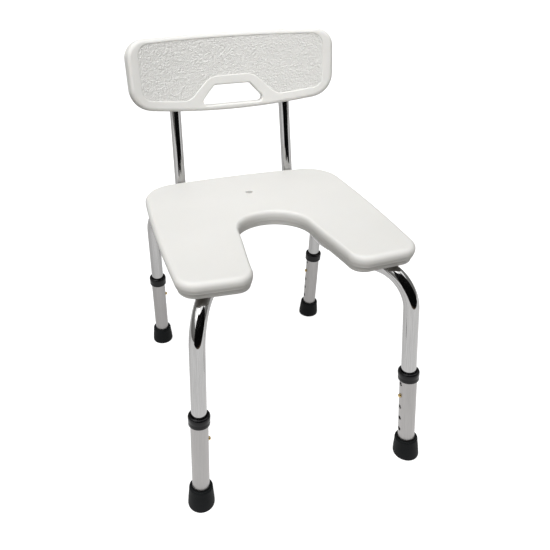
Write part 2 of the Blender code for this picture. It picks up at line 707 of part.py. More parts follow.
def build_back(mats):
    lift = bpy.data.objects.new("back_slide", None)
    place(lift, Matrix.Translation((0, STUB_FRONT, SOCKET_Z)))
    home = lift.matrix_basis.inverted()
    panel_frame = panel_matrix()
    half_thick = PANEL_THICK / 2
    outline = panel_outline()

    def level(amount, z):
        return [(x, y, z) for x, y in inset(outline, [amount] * len(outline))]

    loops = [level(a, z) for a, z in rounded_levels(-half_thick, half_thick, PANEL_ROUND, PANEL_ROUND * 0.8)]
    panel = solid("back_panel", bowed(loft(loops)), mats["back"], home @ panel_frame, lift)
    hollow = [level(PANEL_WALL + a, z) for a, z in
              rounded_levels(PANEL_WALL + GRAIN_DEPTH - half_thick, half_thick - PANEL_WALL, 0.004, 0.004, 2)]
    cavity = cutter("cut_panel_cavity", bowed(loft(hollow)), home @ panel_frame, lift)
    reach = (-0.07, 0.01)
    wall = [[(x, y, z) for x, y in grip_outline(PANEL_WALL)] for z in reach]
    boolean(cavity, cutter("cut_panel_grip_wall", loft(wall), home @ panel_frame, lift))
    back_face = -BACK_R - PANEL_GAP
    posts = []
    holes = [rod(VENT_R, (0, 0.04, back_face), (0, 0.04, back_face + 0.02), 12)]
    points = []
    for side in SIDES.values():
        for rise in SCREW_RISES:
            x = -side * back_x(PANEL_Z + rise)
            points.append((x, rise))
            posts.append(rod(0.0065, (x, rise, -0.07), (x, rise, 0.01), 12))
            holes.append(rod(SCREW_HOLE_R, (x, rise, back_face - SCREW_REACH), (x, rise, 0), 12))
    boolean(cavity, cutter("cut_panel_posts", merged(posts), home @ panel_frame, lift))
    boolean(panel, cavity)
    grip = [[(x, y, z) for x, y in grip_outline()] for z in reach]
    boolean(panel, cutter("cut_panel_grip", loft(grip), home @ panel_frame, lift))
    grain = [[(x, y, z - half_thick) for x, y in grain_outline()] for z in (-0.01, GRAIN_DEPTH)]
    boolean(panel, cutter("cut_panel_grain", bowed(loft(grain), 0.5), home @ panel_frame, lift))
    boolean(panel, cutter("cut_panel_holes", merged(holes), home @ panel_frame, lift))

    for name, side in SIDES.items():
        x = back_x(SOCKET_Z)
        top = Vector((side * back_x(BACK_TOP), back_axis_y(BACK_TOP), BACK_TOP))
        bend = Vector((side * x, back_axis_y(SOCKET_Z), SOCKET_Z))
        tail = Vector((side * x, STUB_FRONT, SOCKET_Z))
        path = bent_path([top, bend, tail], [BACK_BEND_R])
        shape = sweep(path, BACK_R, BACK_R - BACK_WALL)
        tube = solid(f"back_tube_{name}", shape, mats["back_tube"], home, lift)
        button_at = Vector((side * x, BACK_BUTTON_Y, SOCKET_Z))
        drill = [rod(TUBE_HOLE_R, button_at + Vector((0, 0, -0.005)), button_at + Vector((0, 0, -0.02)))]
        for px, rise in points:
            if px * side < 0:
                drill.append(rod(SCREW_HOLE_R, panel_frame @ Vector((px, rise, -0.02)),
                                 panel_frame @ Vector((px, rise, 0.02)), 12))
        boolean(tube, cutter(f"cut_back_tube_{name}", merged(drill), home, lift))

        axis = (path[0] - path[1]).normalized()
        turn = Vector((0, 0, 1)).rotation_difference(axis).to_matrix().to_4x4()
        cap = lathe([(0, -0.010), (0.0090, -0.010), (0.0094, GAP), (0.0109, GAP), (0.0106, 0.0018),
                     (0.0070, 0.0034), (0, 0.0040)], 16)
        solid(f"back_plug_{name}", cap, mats["plug"], home @ Matrix.Translation(top) @ turn, lift)

        for k, (px, rise) in enumerate(p for p in points if p[0] * side < 0):
            head = BACK_R + GAP
            tip = back_face - SCREW_REACH + 0.0005
            screw = lathe([(0, tip), (SCREW_R, tip), (SCREW_R, head), (SCREW_HEAD_R, head),
                           (SCREW_HEAD_R * 0.9, head + SCREW_HEAD_H * 0.6),
                           (SCREW_HEAD_R * 0.5, head + SCREW_HEAD_H), (0, head + SCREW_HEAD_H)], 8)
            where = ("lower", "upper")[k]
            solid(f"back_screw_{where}_{name}", screw, mats["screw"],
                  home @ panel_frame @ Matrix.Translation((px, rise, 0)), lift)

        press = bpy.data.objects.new(f"back_button_press_{name}", None)
        place(press, Matrix.Translation(button_at) @ Matrix.Rotation(math.pi, 4, "X"))
        peg = snap_button(0.0070, 0.0146, 0.0166, 0.0030)
        solid(f"back_button_{name}", peg, mats["button"], parent=press)
        leaf = strip(spring_points(0.0065, -0.0084, 0.0260, 0.0050), 0.0006, 0.0056)
        turn = Matrix(((0, -1, 0), (0, 0, 1), (-1, 0, 0))).to_4x4()
        upright = Matrix.Translation(button_at) @ turn
        solid(f"back_spring_{name}", leaf, mats["spring"], home @ upright, lift)

        sleeve = rod(SOCKET_R, (side * x, SOCKET_FRONT, SOCKET_Z), (side * x, SOCKET_REAR, SOCKET_Z), 20)
        socket = solid(f"back_socket_{name}", sleeve, mats["socket"])
        flange_top = SEAT_UNDER - GAP
        plate = box(FLANGE_SIZE, (side * x, SOCKET_SCREW_Y, flange_top - FLANGE_SIZE[2] / 2))
        boolean(socket, cutter(f"cut_flange_{name}", plate), "UNION")
        bore = rod(SOCKET_BORE, (side * x, SOCKET_FRONT - PAST, SOCKET_Z),
                   (side * x, SOCKET_REAR + PAST, SOCKET_Z), 20)
        boolean(socket, cutter(f"cut_socket_bore_{name}", bore))
        drill = [rod(TUBE_HOLE_R, button_at + Vector((0, 0, -0.008)), button_at + Vector((0, 0, -0.02)))]
        for point in socket_screw_points(side):
            drill.append(rod(SCREW_HOLE_R, (point.x, point.y, flange_top - PAST),
                             (point.x, point.y, flange_top + PAST)))
        boolean(socket, cutter(f"cut_socket_holes_{name}", merged(drill)))
        for k, point in enumerate(socket_screw_points(side)):
            seat_z = flange_top - FLANGE_SIZE[2] - GAP
            screw_top = SEAT_UNDER + SCREW_DEPTH - 0.0005
            screw = lathe([(0, seat_z - SCREW_HEAD_H), (SCREW_HEAD_R * 0.6, seat_z - SCREW_HEAD_H),
                           (SCREW_HEAD_R, seat_z - SCREW_HEAD_H * 0.4), (SCREW_HEAD_R, seat_z),
                           (SCREW_R, seat_z), (SCREW_R, screw_top), (0, screw_top)], 8)
            solid(f"socket_screw_{k + 1}_{name}", screw, mats["screw"],
                  Matrix.Translation((point.x, point.y, 0)))


def main():
    clear_scene()
    mats = {
        "seat": material("seat_plastic", (0.80, 0.79, 0.75), 0.42),
        "back": material("back_plastic", (0.80, 0.79, 0.75), 0.45),
        "frame": material("polished_tube", (0.82, 0.83, 0.84), 0.10, 1.0),
        "back_tube": material("polished_back_tube", (0.82, 0.83, 0.84), 0.10, 1.0),
        "leg": material("anodised_tube", (0.62, 0.63, 0.64), 0.35, 1.0),
        "collar": material("collar_plastic", (0.015, 0.015, 0.016), 0.25),
        "tip": material("foot_rubber", (0.020, 0.020, 0.020), 0.70),
        "button": material("brass_button", (0.72, 0.53, 0.22), 0.25, 1.0),
        "spring": material("spring_steel", (0.45, 0.46, 0.48), 0.30, 1.0),
        "bolt": material("bolt_steel", (0.60, 0.61, 0.62), 0.30, 1.0),
        "screw": material("screw_steel", (0.60, 0.61, 0.62), 0.30, 1.0),
        "strap": material("strap_aluminium", (0.70, 0.71, 0.72), 0.35, 1.0),
        "socket": material("socket_aluminium", (0.70, 0.71, 0.72), 0.35, 1.0),
        "plug": material("plug_plastic", (0.75, 0.74, 0.70), 0.45),
    }
    build_seat(mats)
    build_frame(mats)
    build_legs(mats)
    build_back(mats)
    for obj in bpy.data.objects:
        if not obj.parent:
            obj.matrix_basis = Matrix.Translation((0, -BOX_MIDDLE_Y, 0)) @ obj.matrix_basis


main()
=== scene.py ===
"""Looks for the shower chair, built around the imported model."""

import math

import bmesh
import bpy
from mathutils import Matrix, Vector, noise


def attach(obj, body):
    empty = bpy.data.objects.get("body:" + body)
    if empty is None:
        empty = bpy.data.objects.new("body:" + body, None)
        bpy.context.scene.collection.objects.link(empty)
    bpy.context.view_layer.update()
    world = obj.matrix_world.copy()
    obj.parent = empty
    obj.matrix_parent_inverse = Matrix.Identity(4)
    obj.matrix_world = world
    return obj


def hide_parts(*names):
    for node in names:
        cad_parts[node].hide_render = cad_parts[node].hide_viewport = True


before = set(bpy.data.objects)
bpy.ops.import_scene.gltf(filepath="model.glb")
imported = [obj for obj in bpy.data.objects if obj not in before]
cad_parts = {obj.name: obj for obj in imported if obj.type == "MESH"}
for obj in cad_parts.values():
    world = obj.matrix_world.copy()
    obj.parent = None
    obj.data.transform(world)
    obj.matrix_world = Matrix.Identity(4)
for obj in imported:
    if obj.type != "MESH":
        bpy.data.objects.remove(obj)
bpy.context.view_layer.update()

# ---------------------------------------------------------------- the part's driving dimensions
# Metres and radians. Places along y are measured from the feet's middle, which is BOX_MIDDLE_Y in front
# of the model's origin.
BOX_MIDDLE_Y = 0.00679

# legs: where they stand, how they lean, and the lower tubes with their holes
FOOT_X_FRONT = 0.1941
FOOT_X_REAR = 0.1891
FOOT_Y = 0.2366
LEAN_Y = 0.0932
LEAN_X_FRONT = 0.0540
LEAN_X_REAR = 0.0069
LEG_OUTER_R = 0.01465
LEG_INNER_R = 0.0131
LEG_BOTTOM = 0.0121
LEG_TOP = 0.1773
HOLE_PITCH = 0.0250
HOLE_FIRST = 0.0606
HOLE_COUNT = 5
HOLE_R = 0.0037
BUTTON_S = HOLE_FIRST + 3 * HOLE_PITCH

# side tubes
FRAME_R = 0.0127
FRAME_WALL = 0.0014
FRAME_END = 0.1060
RAIL_X = 0.0950
RAIL_SKEW = math.radians(27.0)
LEG_BEND_R = 0.0615
RAIL_BEND_R = 0.1000

# seat
SEAT_TOP = 0.4066
SEAT_THICK = 0.0317
SEAT_HALF_FRONT = 0.1951
SEAT_HALF_REAR = 0.1990
SEAT_SIDE_BOW = 0.0063
SEAT_FRONT = -0.1963
SEAT_REAR = 0.2192
SEAT_FRONT_BOW = 0.0086
SEAT_REAR_BOW = 0.0142
SEAT_CORNER_FRONT = 0.0340
SEAT_CORNER_REAR = 0.0637
SEAT_ROUND_TOP = 0.0093
SEAT_ROUND_BOTTOM = 0.0200

# the seat's opening and its drain hole
NOTCH_R = 0.0636
NOTCH_Y = -0.0451
NOTCH_FLARE = 0.118
NOTCH_CORNER = 0.0290
NOTCH_ROUND = 0.65
DRAIN_Y = 0.1165
DRAIN_R = 0.0067

# back tubes
BACK_R = 0.0110
BACK_WALL = 0.0012
BACK_X = 0.1180
BACK_Y = 0.2280
BACK_RAKE = 0.132
BACK_CONVERGE = 0.026
BACK_BEND_R = 0.0320
BACK_TOP = 0.6640
STUB_FRONT = 0.1295
BACK_BUTTON_Y = 0.1400

# back panel, its grained field and its hand hold
PANEL_Z = 0.6120
PANEL_HALF_W = 0.2025
PANEL_HALF_H = 0.0718
PANEL_BOW = 0.0306
PANEL_TOP_TURN = math.radians(2.5)
PANEL_LOW_TURN = math.radians(8.0)
PANEL_TOP_CORNER = 0.0340
PANEL_LOW_CORNER = 0.0440
PANEL_THICK = 0.0236
PANEL_GAP = 0.0004
PANEL_ROUND = 0.0075
GRAIN_DEPTH = 0.0012
GRAIN_SIDE = 0.1835
GRAIN_TOP = 0.0635
GRAIN_LOW = -0.0485
GRAIN_CREST = -0.0065
GRAIN_CORNER = 0.0220
GRIP_TOP = -0.0235
GRIP_BOTTOM = -0.0600
GRIP_HALF_TOP = 0.0410
GRIP_HALF_BOTTOM = 0.0608
GRIP_CORNER = 0.0075
GRIP_LIP = 0.0038

# finish of the seat's edge: drawn in below the parting height, with a raised seam round it
SEAT_PARTING = 0.0185
SEAT_DRAFTED = 0.0130
SEAT_DRAFT = math.radians(21)
SEAT_SEAM = 0.0125
SEAM = 0.00025
DRAIN_LIP = 0.0010
DRAIN_UNDERCUT = 0.0028
DRAIN_UNDERCUT_DEPTH = 0.0090
VENT_R = 0.0040
VENT_Y = 0.1700

# finish of the back panel
PANEL_PARTING = 0.56
PANEL_SEAM = 0.0004
PANEL_VENT_R = 0.0035
PANEL_VENT_Y = 0.0400
FIELD_LIP = 0.0009
GRAIN_STEP = 0.0011
GRAIN_RELIEF = 0.00125

GAP = 0.0003
SEAT_UNDER = SEAT_TOP - SEAT_THICK
RAIL_Z = SEAT_UNDER - FRAME_R - GAP
SOCKET_R = 0.0132
SOCKET_Z = SEAT_UNDER - SOCKET_R - 2 * GAP
SOFT_EDGE = 0.0004
SMOOTH_ANGLE = math.radians(38)
CUT_WELD = 0.000004
CORNERS = {"front_left": (-1, -1), "front_right": (1, -1), "rear_left": (-1, 1), "rear_right": (1, 1)}
SIDES = {"left": -1, "right": 1}

# collar and foot as radius and height along the leg, each fitting closely round the tube at SLEEVE_R
HOLE_LIP = 0.0005
SLEEVE_R = LEG_OUTER_R + GAP
COLLAR_BOTTOM = 0.1690
COLLAR_PROFILE = [
    (0.0169, COLLAR_BOTTOM), (0.0175, 0.1692), (0.0178, 0.1698), (0.0178, 0.1750), (0.0176, 0.1757),
    (0.0178, 0.1765), (0.01805, 0.1800), (0.0182, 0.1822), (0.0181, 0.1843), (0.0177, 0.1857),
    (0.0170, 0.1868), (0.0160, 0.1874), (0.0149, 0.1875), (0.0138, 0.1871), (0.0131, 0.1861),
    (0.0131, LEG_TOP + GAP), (SLEEVE_R, LEG_TOP + GAP), (SLEEVE_R, COLLAR_BOTTOM)]
FOOT_RIM = 0.0383
FOOT_EASE = 0.0300
FOOT_TREAD = 0.0060
FOOT_PROFILE = [
    (0, 0.0012), (0.0060, 0.0012), (0.0066, 0), (0.0110, 0), (0.0116, 0.0012), (0.0150, 0.0012),
    (0.0156, 0), (0.0208, 0), (0.0219, 0.0004), (0.0226, 0.0014), (0.0229, 0.0030), (0.0228, 0.0060),
    (0.0225, 0.0100), (0.0221, 0.0150), (0.0216, 0.0200), (0.0211, 0.0250), (0.0206, 0.0300),
    (0.0204, 0.0330), (0.0203, 0.0355), (0.0199, 0.0374), (0.0190, 0.0386), (0.0176, 0.0391),
    (0.0160, 0.0390)]


# ---------------------------------------------------------------- material nodes
class Nodes:
    """One Principled material, built node by node."""

    def __init__(self, name):
        self.mat = bpy.data.materials.new(name)
        self.mat.use_nodes = True
        self.tree = self.mat.node_tree
        self.shader = self.tree.nodes["Principled BSDF"]

    def add(self, kind, **values):
        node = self.tree.nodes.new(kind)
        for key, value in values.items():
            setattr(node, key, value)
        return node

    def link(self, source, target):
        self.tree.links.new(source, target)

    def put(self, **values):
        for key, value in values.items():
            self.shader.inputs[key.replace("_", " ")].default_value = value

    def coords(self, scale=(1, 1, 1), output="Object"):
        texture = self.add("ShaderNodeTexCoord")
        mapping = self.add("ShaderNodeMapping")
        mapping.inputs["Scale"].default_value = scale
        self.link(texture.outputs[output], mapping.inputs["Vector"])
        return mapping.outputs["Vector"]

    def noise(self, vector, scale, detail=3.0, rough=0.55, distortion=0.0):
        node = self.add("ShaderNodeTexNoise")
        node.inputs["Scale"].default_value = scale
        node.inputs["Detail"].default_value = detail
        node.inputs["Roughness"].default_value = rough
        node.inputs["Distortion"].default_value = distortion
        self.link(vector, node.inputs["Vector"])
        return node.outputs["Fac"]

    def ramp(self, value, low, high, out_low, out_high):
        node = self.add("ShaderNodeMapRange")
        node.inputs["From Min"].default_value = low
        node.inputs["From Max"].default_value = high
        node.inputs["To Min"].default_value = out_low
        node.inputs["To Max"].default_value = out_high
        self.link(value, node.inputs["Value"])
        return node.outputs["Result"]

    def colours(self, value, stops):
        node = self.add("ShaderNodeValToRGB")
        first, last = node.color_ramp.elements
        first.position, first.color = stops[0][0], (*stops[0][1], 1)
        last.position, last.color = stops[-1][0], (*stops[-1][1], 1)
        for position, colour in stops[1:-1]:
            node.color_ramp.elements.new(position).color = (*colour, 1)
        self.link(value, node.inputs["Fac"])
        return node.outputs["Color"]

    def weighted_sum(self, first, weight, second):
        node = self.add("ShaderNodeMath", operation="MULTIPLY_ADD")
        node.inputs[1].default_value = weight
        self.link(first, node.inputs[0])
        self.link(second, node.inputs[2])
        return node.outputs["Value"]

    def bump(self, height, strength, distance, below=None):
        node = self.add("ShaderNodeBump")
        node.inputs["Strength"].default_value = strength
        node.inputs["Distance"].default_value = distance
        self.link(height, node.inputs["Height"])
        if below:
            self.link(below, node.inputs["Normal"])
        return node.outputs["Normal"]


def moulded(name, colour, shade, roughness):
    """Satin polyethylene: faint cloudy tone, fine mould texture and a soft sheen."""
    m = Nodes(name)
    where = m.coords()
    cloud = m.noise(where, 7.0, 3.0)
    m.link(m.colours(cloud, [(0.3, shade), (0.7, colour)]), m.shader.inputs["Base Color"])
    grain = m.noise(where, 900.0, 3.0, 0.6)
    wander = m.noise(where, 38.0, 2.0)
    m.link(m.ramp(grain, 0.3, 0.7, roughness - 0.05, roughness + 0.06), m.shader.inputs["Roughness"])
    slow = m.bump(wander, 0.25, 0.0006)
    m.link(m.bump(grain, 0.22, 0.00012, slow), m.shader.inputs["Normal"])
    m.put(IOR=1.50, Specular_IOR_Level=0.42, Subsurface_Weight=0.06, Subsurface_Scale=0.004)
    m.shader.inputs["Subsurface Radius"].default_value = (1.0, 0.8, 0.6)
    return m.mat


def leather_grain(name, colour, roughness):
    """Finer crinkle on top of the modelled grain: small pillows with creases between them."""
    m = Nodes(name)
    where = m.coords()
    shift = m.add("ShaderNodeTexNoise")
    shift.inputs["Scale"].default_value = 90.0
    shift.inputs["Detail"].default_value = 3.0
    spread = m.add("ShaderNodeVectorMath", operation="SCALE")
    spread.inputs["Scale"].default_value = 0.011
    warp = m.add("ShaderNodeVectorMath", operation="ADD")
    m.link(where, shift.inputs["Vector"])
    m.link(shift.outputs["Color"], spread.inputs[0])
    m.link(where, warp.inputs[0])
    m.link(spread.outputs["Vector"], warp.inputs[1])
    cells = m.add("ShaderNodeTexVoronoi", feature="DISTANCE_TO_EDGE")
    cells.inputs["Scale"].default_value = 240.0
    m.link(warp.outputs["Vector"], cells.inputs["Vector"])
    pillow = m.ramp(cells.outputs["Distance"], 0.0, 0.30, 0.0, 1.0)
    swell = m.noise(where, 180.0, 3.0, 0.6, 0.8)
    relief = m.weighted_sum(swell, 1.6, pillow)
    fine = m.noise(where, 900.0, 2.0)
    tone = m.noise(where, 9.0, 2.0)
    m.link(m.colours(tone, [(0.3, tuple(0.985 * c for c in colour)), (0.7, colour)]),
           m.shader.inputs["Base Color"])
    m.link(m.ramp(fine, 0.3, 0.7, roughness - 0.04, roughness + 0.06), m.shader.inputs["Roughness"])
    m.link(m.bump(fine, 0.15, 0.0001, m.bump(relief, 0.55, 0.0016)), m.shader.inputs["Normal"])
    m.put(IOR=1.50, Specular_IOR_Level=0.55)
    return m.mat


def drawn_metal(name, colour, dark, roughness, streak, spread=0.03):
    """Drawn tube: tone and polish vary in fine lines along its length (u runs round, v along)."""
    m = Nodes(name)
    along = m.coords((1.0, 0.03, 1.0), "UV")
    lines = m.noise(along, 60.0, 5.0, 0.65)
    where = m.coords()
    cloud = m.noise(where, 22.0, 3.0)
    m.link(m.colours(lines, [(0.25, dark), (0.6, colour)]), m.shader.inputs["Base Color"])
    both = m.weighted_sum(cloud, 0.6, lines)
    m.link(m.ramp(both, 0.5, 1.1, roughness - spread, roughness + spread), m.shader.inputs["Roughness"])
    m.link(m.bump(lines, streak, 0.00005), m.shader.inputs["Normal"])
    m.put(Metallic=1.0)
    return m.mat


def plain_metal(name, colour, dark, roughness):
    """Turned or pressed metal with fine marks and a slightly uneven finish."""
    m = Nodes(name)
    where = m.coords()
    marks = m.noise(where, 420.0, 4.0, 0.65)
    cloud = m.noise(where, 55.0, 3.0)
    m.link(m.colours(cloud, [(0.3, dark), (0.65, colour)]), m.shader.inputs["Base Color"])
    m.link(m.ramp(marks, 0.3, 0.7, roughness - 0.06, roughness + 0.08), m.shader.inputs["Roughness"])
    m.link(m.bump(marks, 0.2, 0.00008), m.shader.inputs["Normal"])
    m.put(Metallic=1.0)
    return m.mat


def dark_polymer(name, colour, light, roughness, scale, depth, level):
    """Black plastic or rubber with a fine moulded skin and faint dusty tone."""
    m = Nodes(name)
    where = m.coords()
    skin_noise = m.noise(where, scale, 3.0, 0.6)
    dust = m.noise(where, 60.0, 4.0, 0.6)
    m.link(m.colours(dust, [(0.35, colour), (0.8, light)]), m.shader.inputs["Base Color"])
    m.link(m.ramp(skin_noise, 0.3, 0.7, roughness - 0.05, roughness + 0.07), m.shader.inputs["Roughness"])
    m.link(m.bump(skin_noise, 0.35, depth), m.shader.inputs["Normal"])
    m.put(Specular_IOR_Level=level)
    return m.mat


MATS = {
    "seat": moulded("seat_plastic", (0.845, 0.838, 0.812), (0.822, 0.815, 0.788), 0.46),
    "back": moulded("back_plastic", (0.855, 0.850, 0.826), (0.832, 0.826, 0.802), 0.44),
    "grain": leather_grain("back_grain", (0.880, 0.875, 0.852), 0.42),
    "chrome": drawn_metal("polished_tube", (0.520, 0.515, 0.510), (0.420, 0.417, 0.414), 0.075, 0.10, 0.025),
    "satin": drawn_metal("anodised_tube", (0.450, 0.438, 0.430), (0.385, 0.375, 0.370), 0.34, 0.35, 0.05),
    "collar": dark_polymer("collar_plastic", (0.004, 0.004, 0.0045), (0.008, 0.008, 0.009), 0.16,
                           700.0, 0.00004, 0.28),
    "tip": dark_polymer("foot_rubber", (0.004, 0.005, 0.0055), (0.009, 0.010, 0.011), 0.60,
                        1100.0, 0.00016, 0.16),
    "brass": plain_metal("brass_button", (0.78, 0.58, 0.27), (0.60, 0.42, 0.17), 0.26),
    "steel": plain_metal("zinc_steel", (0.66, 0.67, 0.68), (0.52, 0.53, 0.55), 0.30),
    "spring": plain_metal("spring_steel", (0.50, 0.51, 0.53), (0.38, 0.39, 0.42), 0.28),
    "mill": plain_metal("mill_aluminium", (0.76, 0.765, 0.77), (0.66, 0.665, 0.675), 0.36),
    "plug": moulded("plug_plastic", (0.80, 0.79, 0.76), (0.77, 0.76, 0.73), 0.48),
}


# ---------------------------------------------------------------- mesh helpers
def quarter(steps, first=0):
    """Angles of a quarter turn in equal steps."""
    return [math.pi / 2 * i / steps for i in range(first, steps + 1)]


def skin(bm, rings, closed=False, uv=None):
    """Faces between successive vertex rings; a ring of one vertex is a pole."""
    pairs = list(zip(rings, rings[1:]))
    if closed:
        pairs.append((rings[-1], rings[0]))
    layer = bm.loops.layers.uv.verify() if uv else None
    for k, (low, high) in enumerate(pairs):
        count = max(len(low), len(high))
        for i in range(count):
            j = (i + 1) % count
            corners = [low[i % len(low)], low[j % len(low)], high[j % len(high)], high[i % len(high)]]
            unique = list(dict.fromkeys(corners))
            if len(unique) < 3:
                continue
            face = bm.faces.new(unique)
            if uv:
                around = {low[i % len(low)]: (i, k), high[i % len(high)]: (i, k + 1)}
                around.update({low[j % len(low)]: (i + 1, k), high[j % len(high)]: (i + 1, k + 1)})
                for loop in face.loops:
                    a, b = around[loop.vert]
                    loop[layer].uv = (a / count, uv[min(b, len(uv) - 1)])


def lathe(profile, segments, closed=False, tilt=None):
    """Turned shape about +Z. tilt(r, z, angle) lifts a point along the axis."""
    bm = bmesh.new()
    rings = []
    for r, z in profile:
        if r == 0:
            rings.append([bm.verts.new((0, 0, z))])
            continue
        ring = []
        for i in range(segments):
            a = math.tau * i / segments
            lift = tilt(r, z, a) if tilt else 0.0
            ring.append(bm.verts.new((r * math.cos(a), r * math.sin(a), z + lift)))
        rings.append(ring)
    skin(bm, rings, closed, [z * 10 for _, z in profile])
    return bm


def loft(loops):
    """Solid through successive loops of points, closed by its first and last loops."""
    bm = bmesh.new()
    rings = [[bm.verts.new(p) for p in loop] for loop in loops]
    skin(bm, rings)
    bm.faces.new(rings[0])
    bm.faces.new(rings[-1])
    return bm


def aimed(bm, start, end):
    """Turns a shape built up +Z so that it runs from start toward end."""
    axis = (Vector(end) - Vector(start)).normalized()
    turn = Vector((0, 0, 1)).rotation_difference(axis).to_matrix().to_4x4()
    bmesh.ops.transform(bm, matrix=Matrix.Translation(start) @ turn, verts=bm.verts)
    return bm


def bent_path(corners, radii, step=math.radians(4)):
    """Points along straight runs joined by arcs of the given radii at the inner corners."""
    points = [Vector(corners[0])]
    for k, radius in enumerate(radii, start=1):
        before, corner, after = (Vector(c) for c in corners[k - 1:k + 2])
        come = (corner - before).normalized()
        leave = (after - corner).normalized()
        turn = come.angle(leave)
        reach = radius * math.tan(turn / 2)
        inward = (leave - come * come.dot(leave)).normalized()
        centre = corner - come * reach + inward * radius
        count = max(2, math.ceil(turn / step))
        for i in range(count + 1):
            a = turn * i / count
            points.append(centre - inward * radius * math.cos(a) + come * radius * math.sin(a))
    points.append(Vector(corners[-1]))
    return points


def sweep(path, outer, inner, segments=48):
    """Round tube along a path with softened open ends."""
    bm = bmesh.new()
    rings = []
    length = [0.0]
    for a, b in zip(path, path[1:]):
        length.append(length[-1] + (b - a).length)
    tangents = []
    for i in range(len(path)):
        ahead = path[min(i + 1, len(path) - 1)]
        behind = path[max(i - 1, 0)]
        tangents.append((ahead - behind).normalized())
    side = tangents[0].orthogonal().normalized()
    frames = []
    for i, (point, tangent) in enumerate(zip(path, tangents)):
        if i:
            side = tangents[i - 1].rotation_difference(tangent) @ side
        side = (side - tangent * side.dot(tangent)).normalized()
        frames.append((point, tangent, side, tangent.cross(side)))

    def ring(index, radius, shift=0.0):
        point, tangent, across, up = frames[index]
        out = []
        for k in range(segments):
            a = math.tau * k / segments
            out.append(bm.verts.new(point + tangent * shift + across * radius * math.cos(a)
                                    + up * radius * math.sin(a)))
        return out

    uv = [length[0] * 10]
    rings.append(ring(0, outer - SOFT_EDGE))
    rings.append(ring(0, outer, SOFT_EDGE))
    uv.append(length[0] * 10)
    for i in range(1, len(path) - 1):
        rings.append(ring(i, outer))
        uv.append(length[i] * 10)
    last = len(path) - 1
    rings.append(ring(last, outer, -SOFT_EDGE))
    rings.append(ring(last, outer - SOFT_EDGE))
    uv += [length[-1] * 10] * 2
    for i in range(last, -1, -1):
        rings.append(ring(i, inner))
        uv.append(length[i] * 10)
    skin(bm, rings, closed=True, uv=uv)
    return bm


def shade(mesh):
    mesh.shade_smooth()
    mesh.set_sharp_from_angle(angle=SMOOTH_ANGLE)


def piece(name, bm, mats, matrix=None):
    """A finished piece, its place baked into its vertices."""
    if matrix:
        bmesh.ops.transform(bm, matrix=matrix, verts=bm.verts)
    bmesh.ops.recalc_face_normals(bm, faces=bm.faces)
    mesh = bpy.data.meshes.new(name)
    bm.to_mesh(mesh)
    bm.free()
    shade(mesh)
    for mat in mats:
        mesh.materials.append(MATS[mat])
    obj = bpy.data.objects.new(name, mesh)
    bpy.context.scene.collection.objects.link(obj)
    return obj


def carve(obj, tools):
    """Cuts the tools out of the piece, welds the slivers that the cuts leave, and removes the tools."""
    for tool in tools:
        mod = obj.modifiers.new("cut", "BOOLEAN")
        mod.operation = "DIFFERENCE"
        mod.solver = "EXACT"
        mod.material_mode = "TRANSFER"
        mod.object = tool
    mesh = bpy.data.meshes.new_from_object(obj.evaluated_get(bpy.context.evaluated_depsgraph_get()))
    bm = bmesh.new()
    bm.from_mesh(mesh)
    bmesh.ops.remove_doubles(bm, verts=bm.verts, dist=CUT_WELD)
    bmesh.ops.dissolve_degenerate(bm, edges=bm.edges, dist=CUT_WELD)
    bm.to_mesh(mesh)
    bm.free()
    obj.modifiers.clear()
    obj.data = mesh
    for tool in tools:
        bpy.data.objects.remove(tool, do_unlink=True)


def stands_for(obj, body, *nodes):
    """Moves a piece from the feet's middle to the model's origin and puts it in a node's place."""
    obj.data.transform(Matrix.Translation((0, -BOX_MIDDLE_Y, 0)))
    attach(obj, body)
    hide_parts(*nodes)


# ---------------------------------------------------------------- outlines
def arc(cx, cy, radius_x, radius_y, start, end, count):
    """Points of an elliptical arc, both ends included."""
    points = []
    for i in range(count):
        a = start + (end - start) * i / (count - 1)
        points.append((cx + radius_x * math.cos(a), cy + radius_y * math.sin(a)))
    return points


def mirrored(half):
    """A half outline from the middle line to the middle line, completed on the other side."""
    return half + [(-x, y) for x, y in reversed(half) if abs(x) > 1e-9]


def inset(outline, amounts):
    """Each point moved inward along the outline's own normal."""
    out = []
    count = len(outline)
    area = sum(outline[i][0] * outline[(i + 1) % count][1] - outline[(i + 1) % count][0] * outline[i][1]
               for i in range(count))
    sign = 1 if area > 0 else -1
    for i, (x, y) in enumerate(outline):
        ahead = outline[(i + 1) % count]
        behind = outline[i - 1]
        tangent = Vector((ahead[0] - behind[0], ahead[1] - behind[1])).normalized()
        out.append((x - tangent.y * amounts[i] * sign, y + tangent.x * amounts[i] * sign))
    return out


def seat_half(y):
    """Half the seat's width at y: widening rearward, with sides that bow outward."""
    front = SEAT_FRONT + SEAT_FRONT_BOW
    rear = SEAT_REAR - SEAT_REAR_BOW
    u = (y - front) / (rear - front)
    return SEAT_HALF_FRONT + (SEAT_HALF_REAR - SEAT_HALF_FRONT) * u + SEAT_SIDE_BOW * 4 * u * (1 - u)


def seat_front_y(x):
    """The seat's front edge, which falls back toward the corners."""
    return SEAT_FRONT + SEAT_FRONT_BOW * (x / SEAT_HALF_FRONT) ** 2


def seat_rear_y(x):
    """The seat's rear edge, which falls forward toward the corners."""
    return SEAT_REAR - SEAT_REAR_BOW * (x / SEAT_HALF_REAR) ** 2


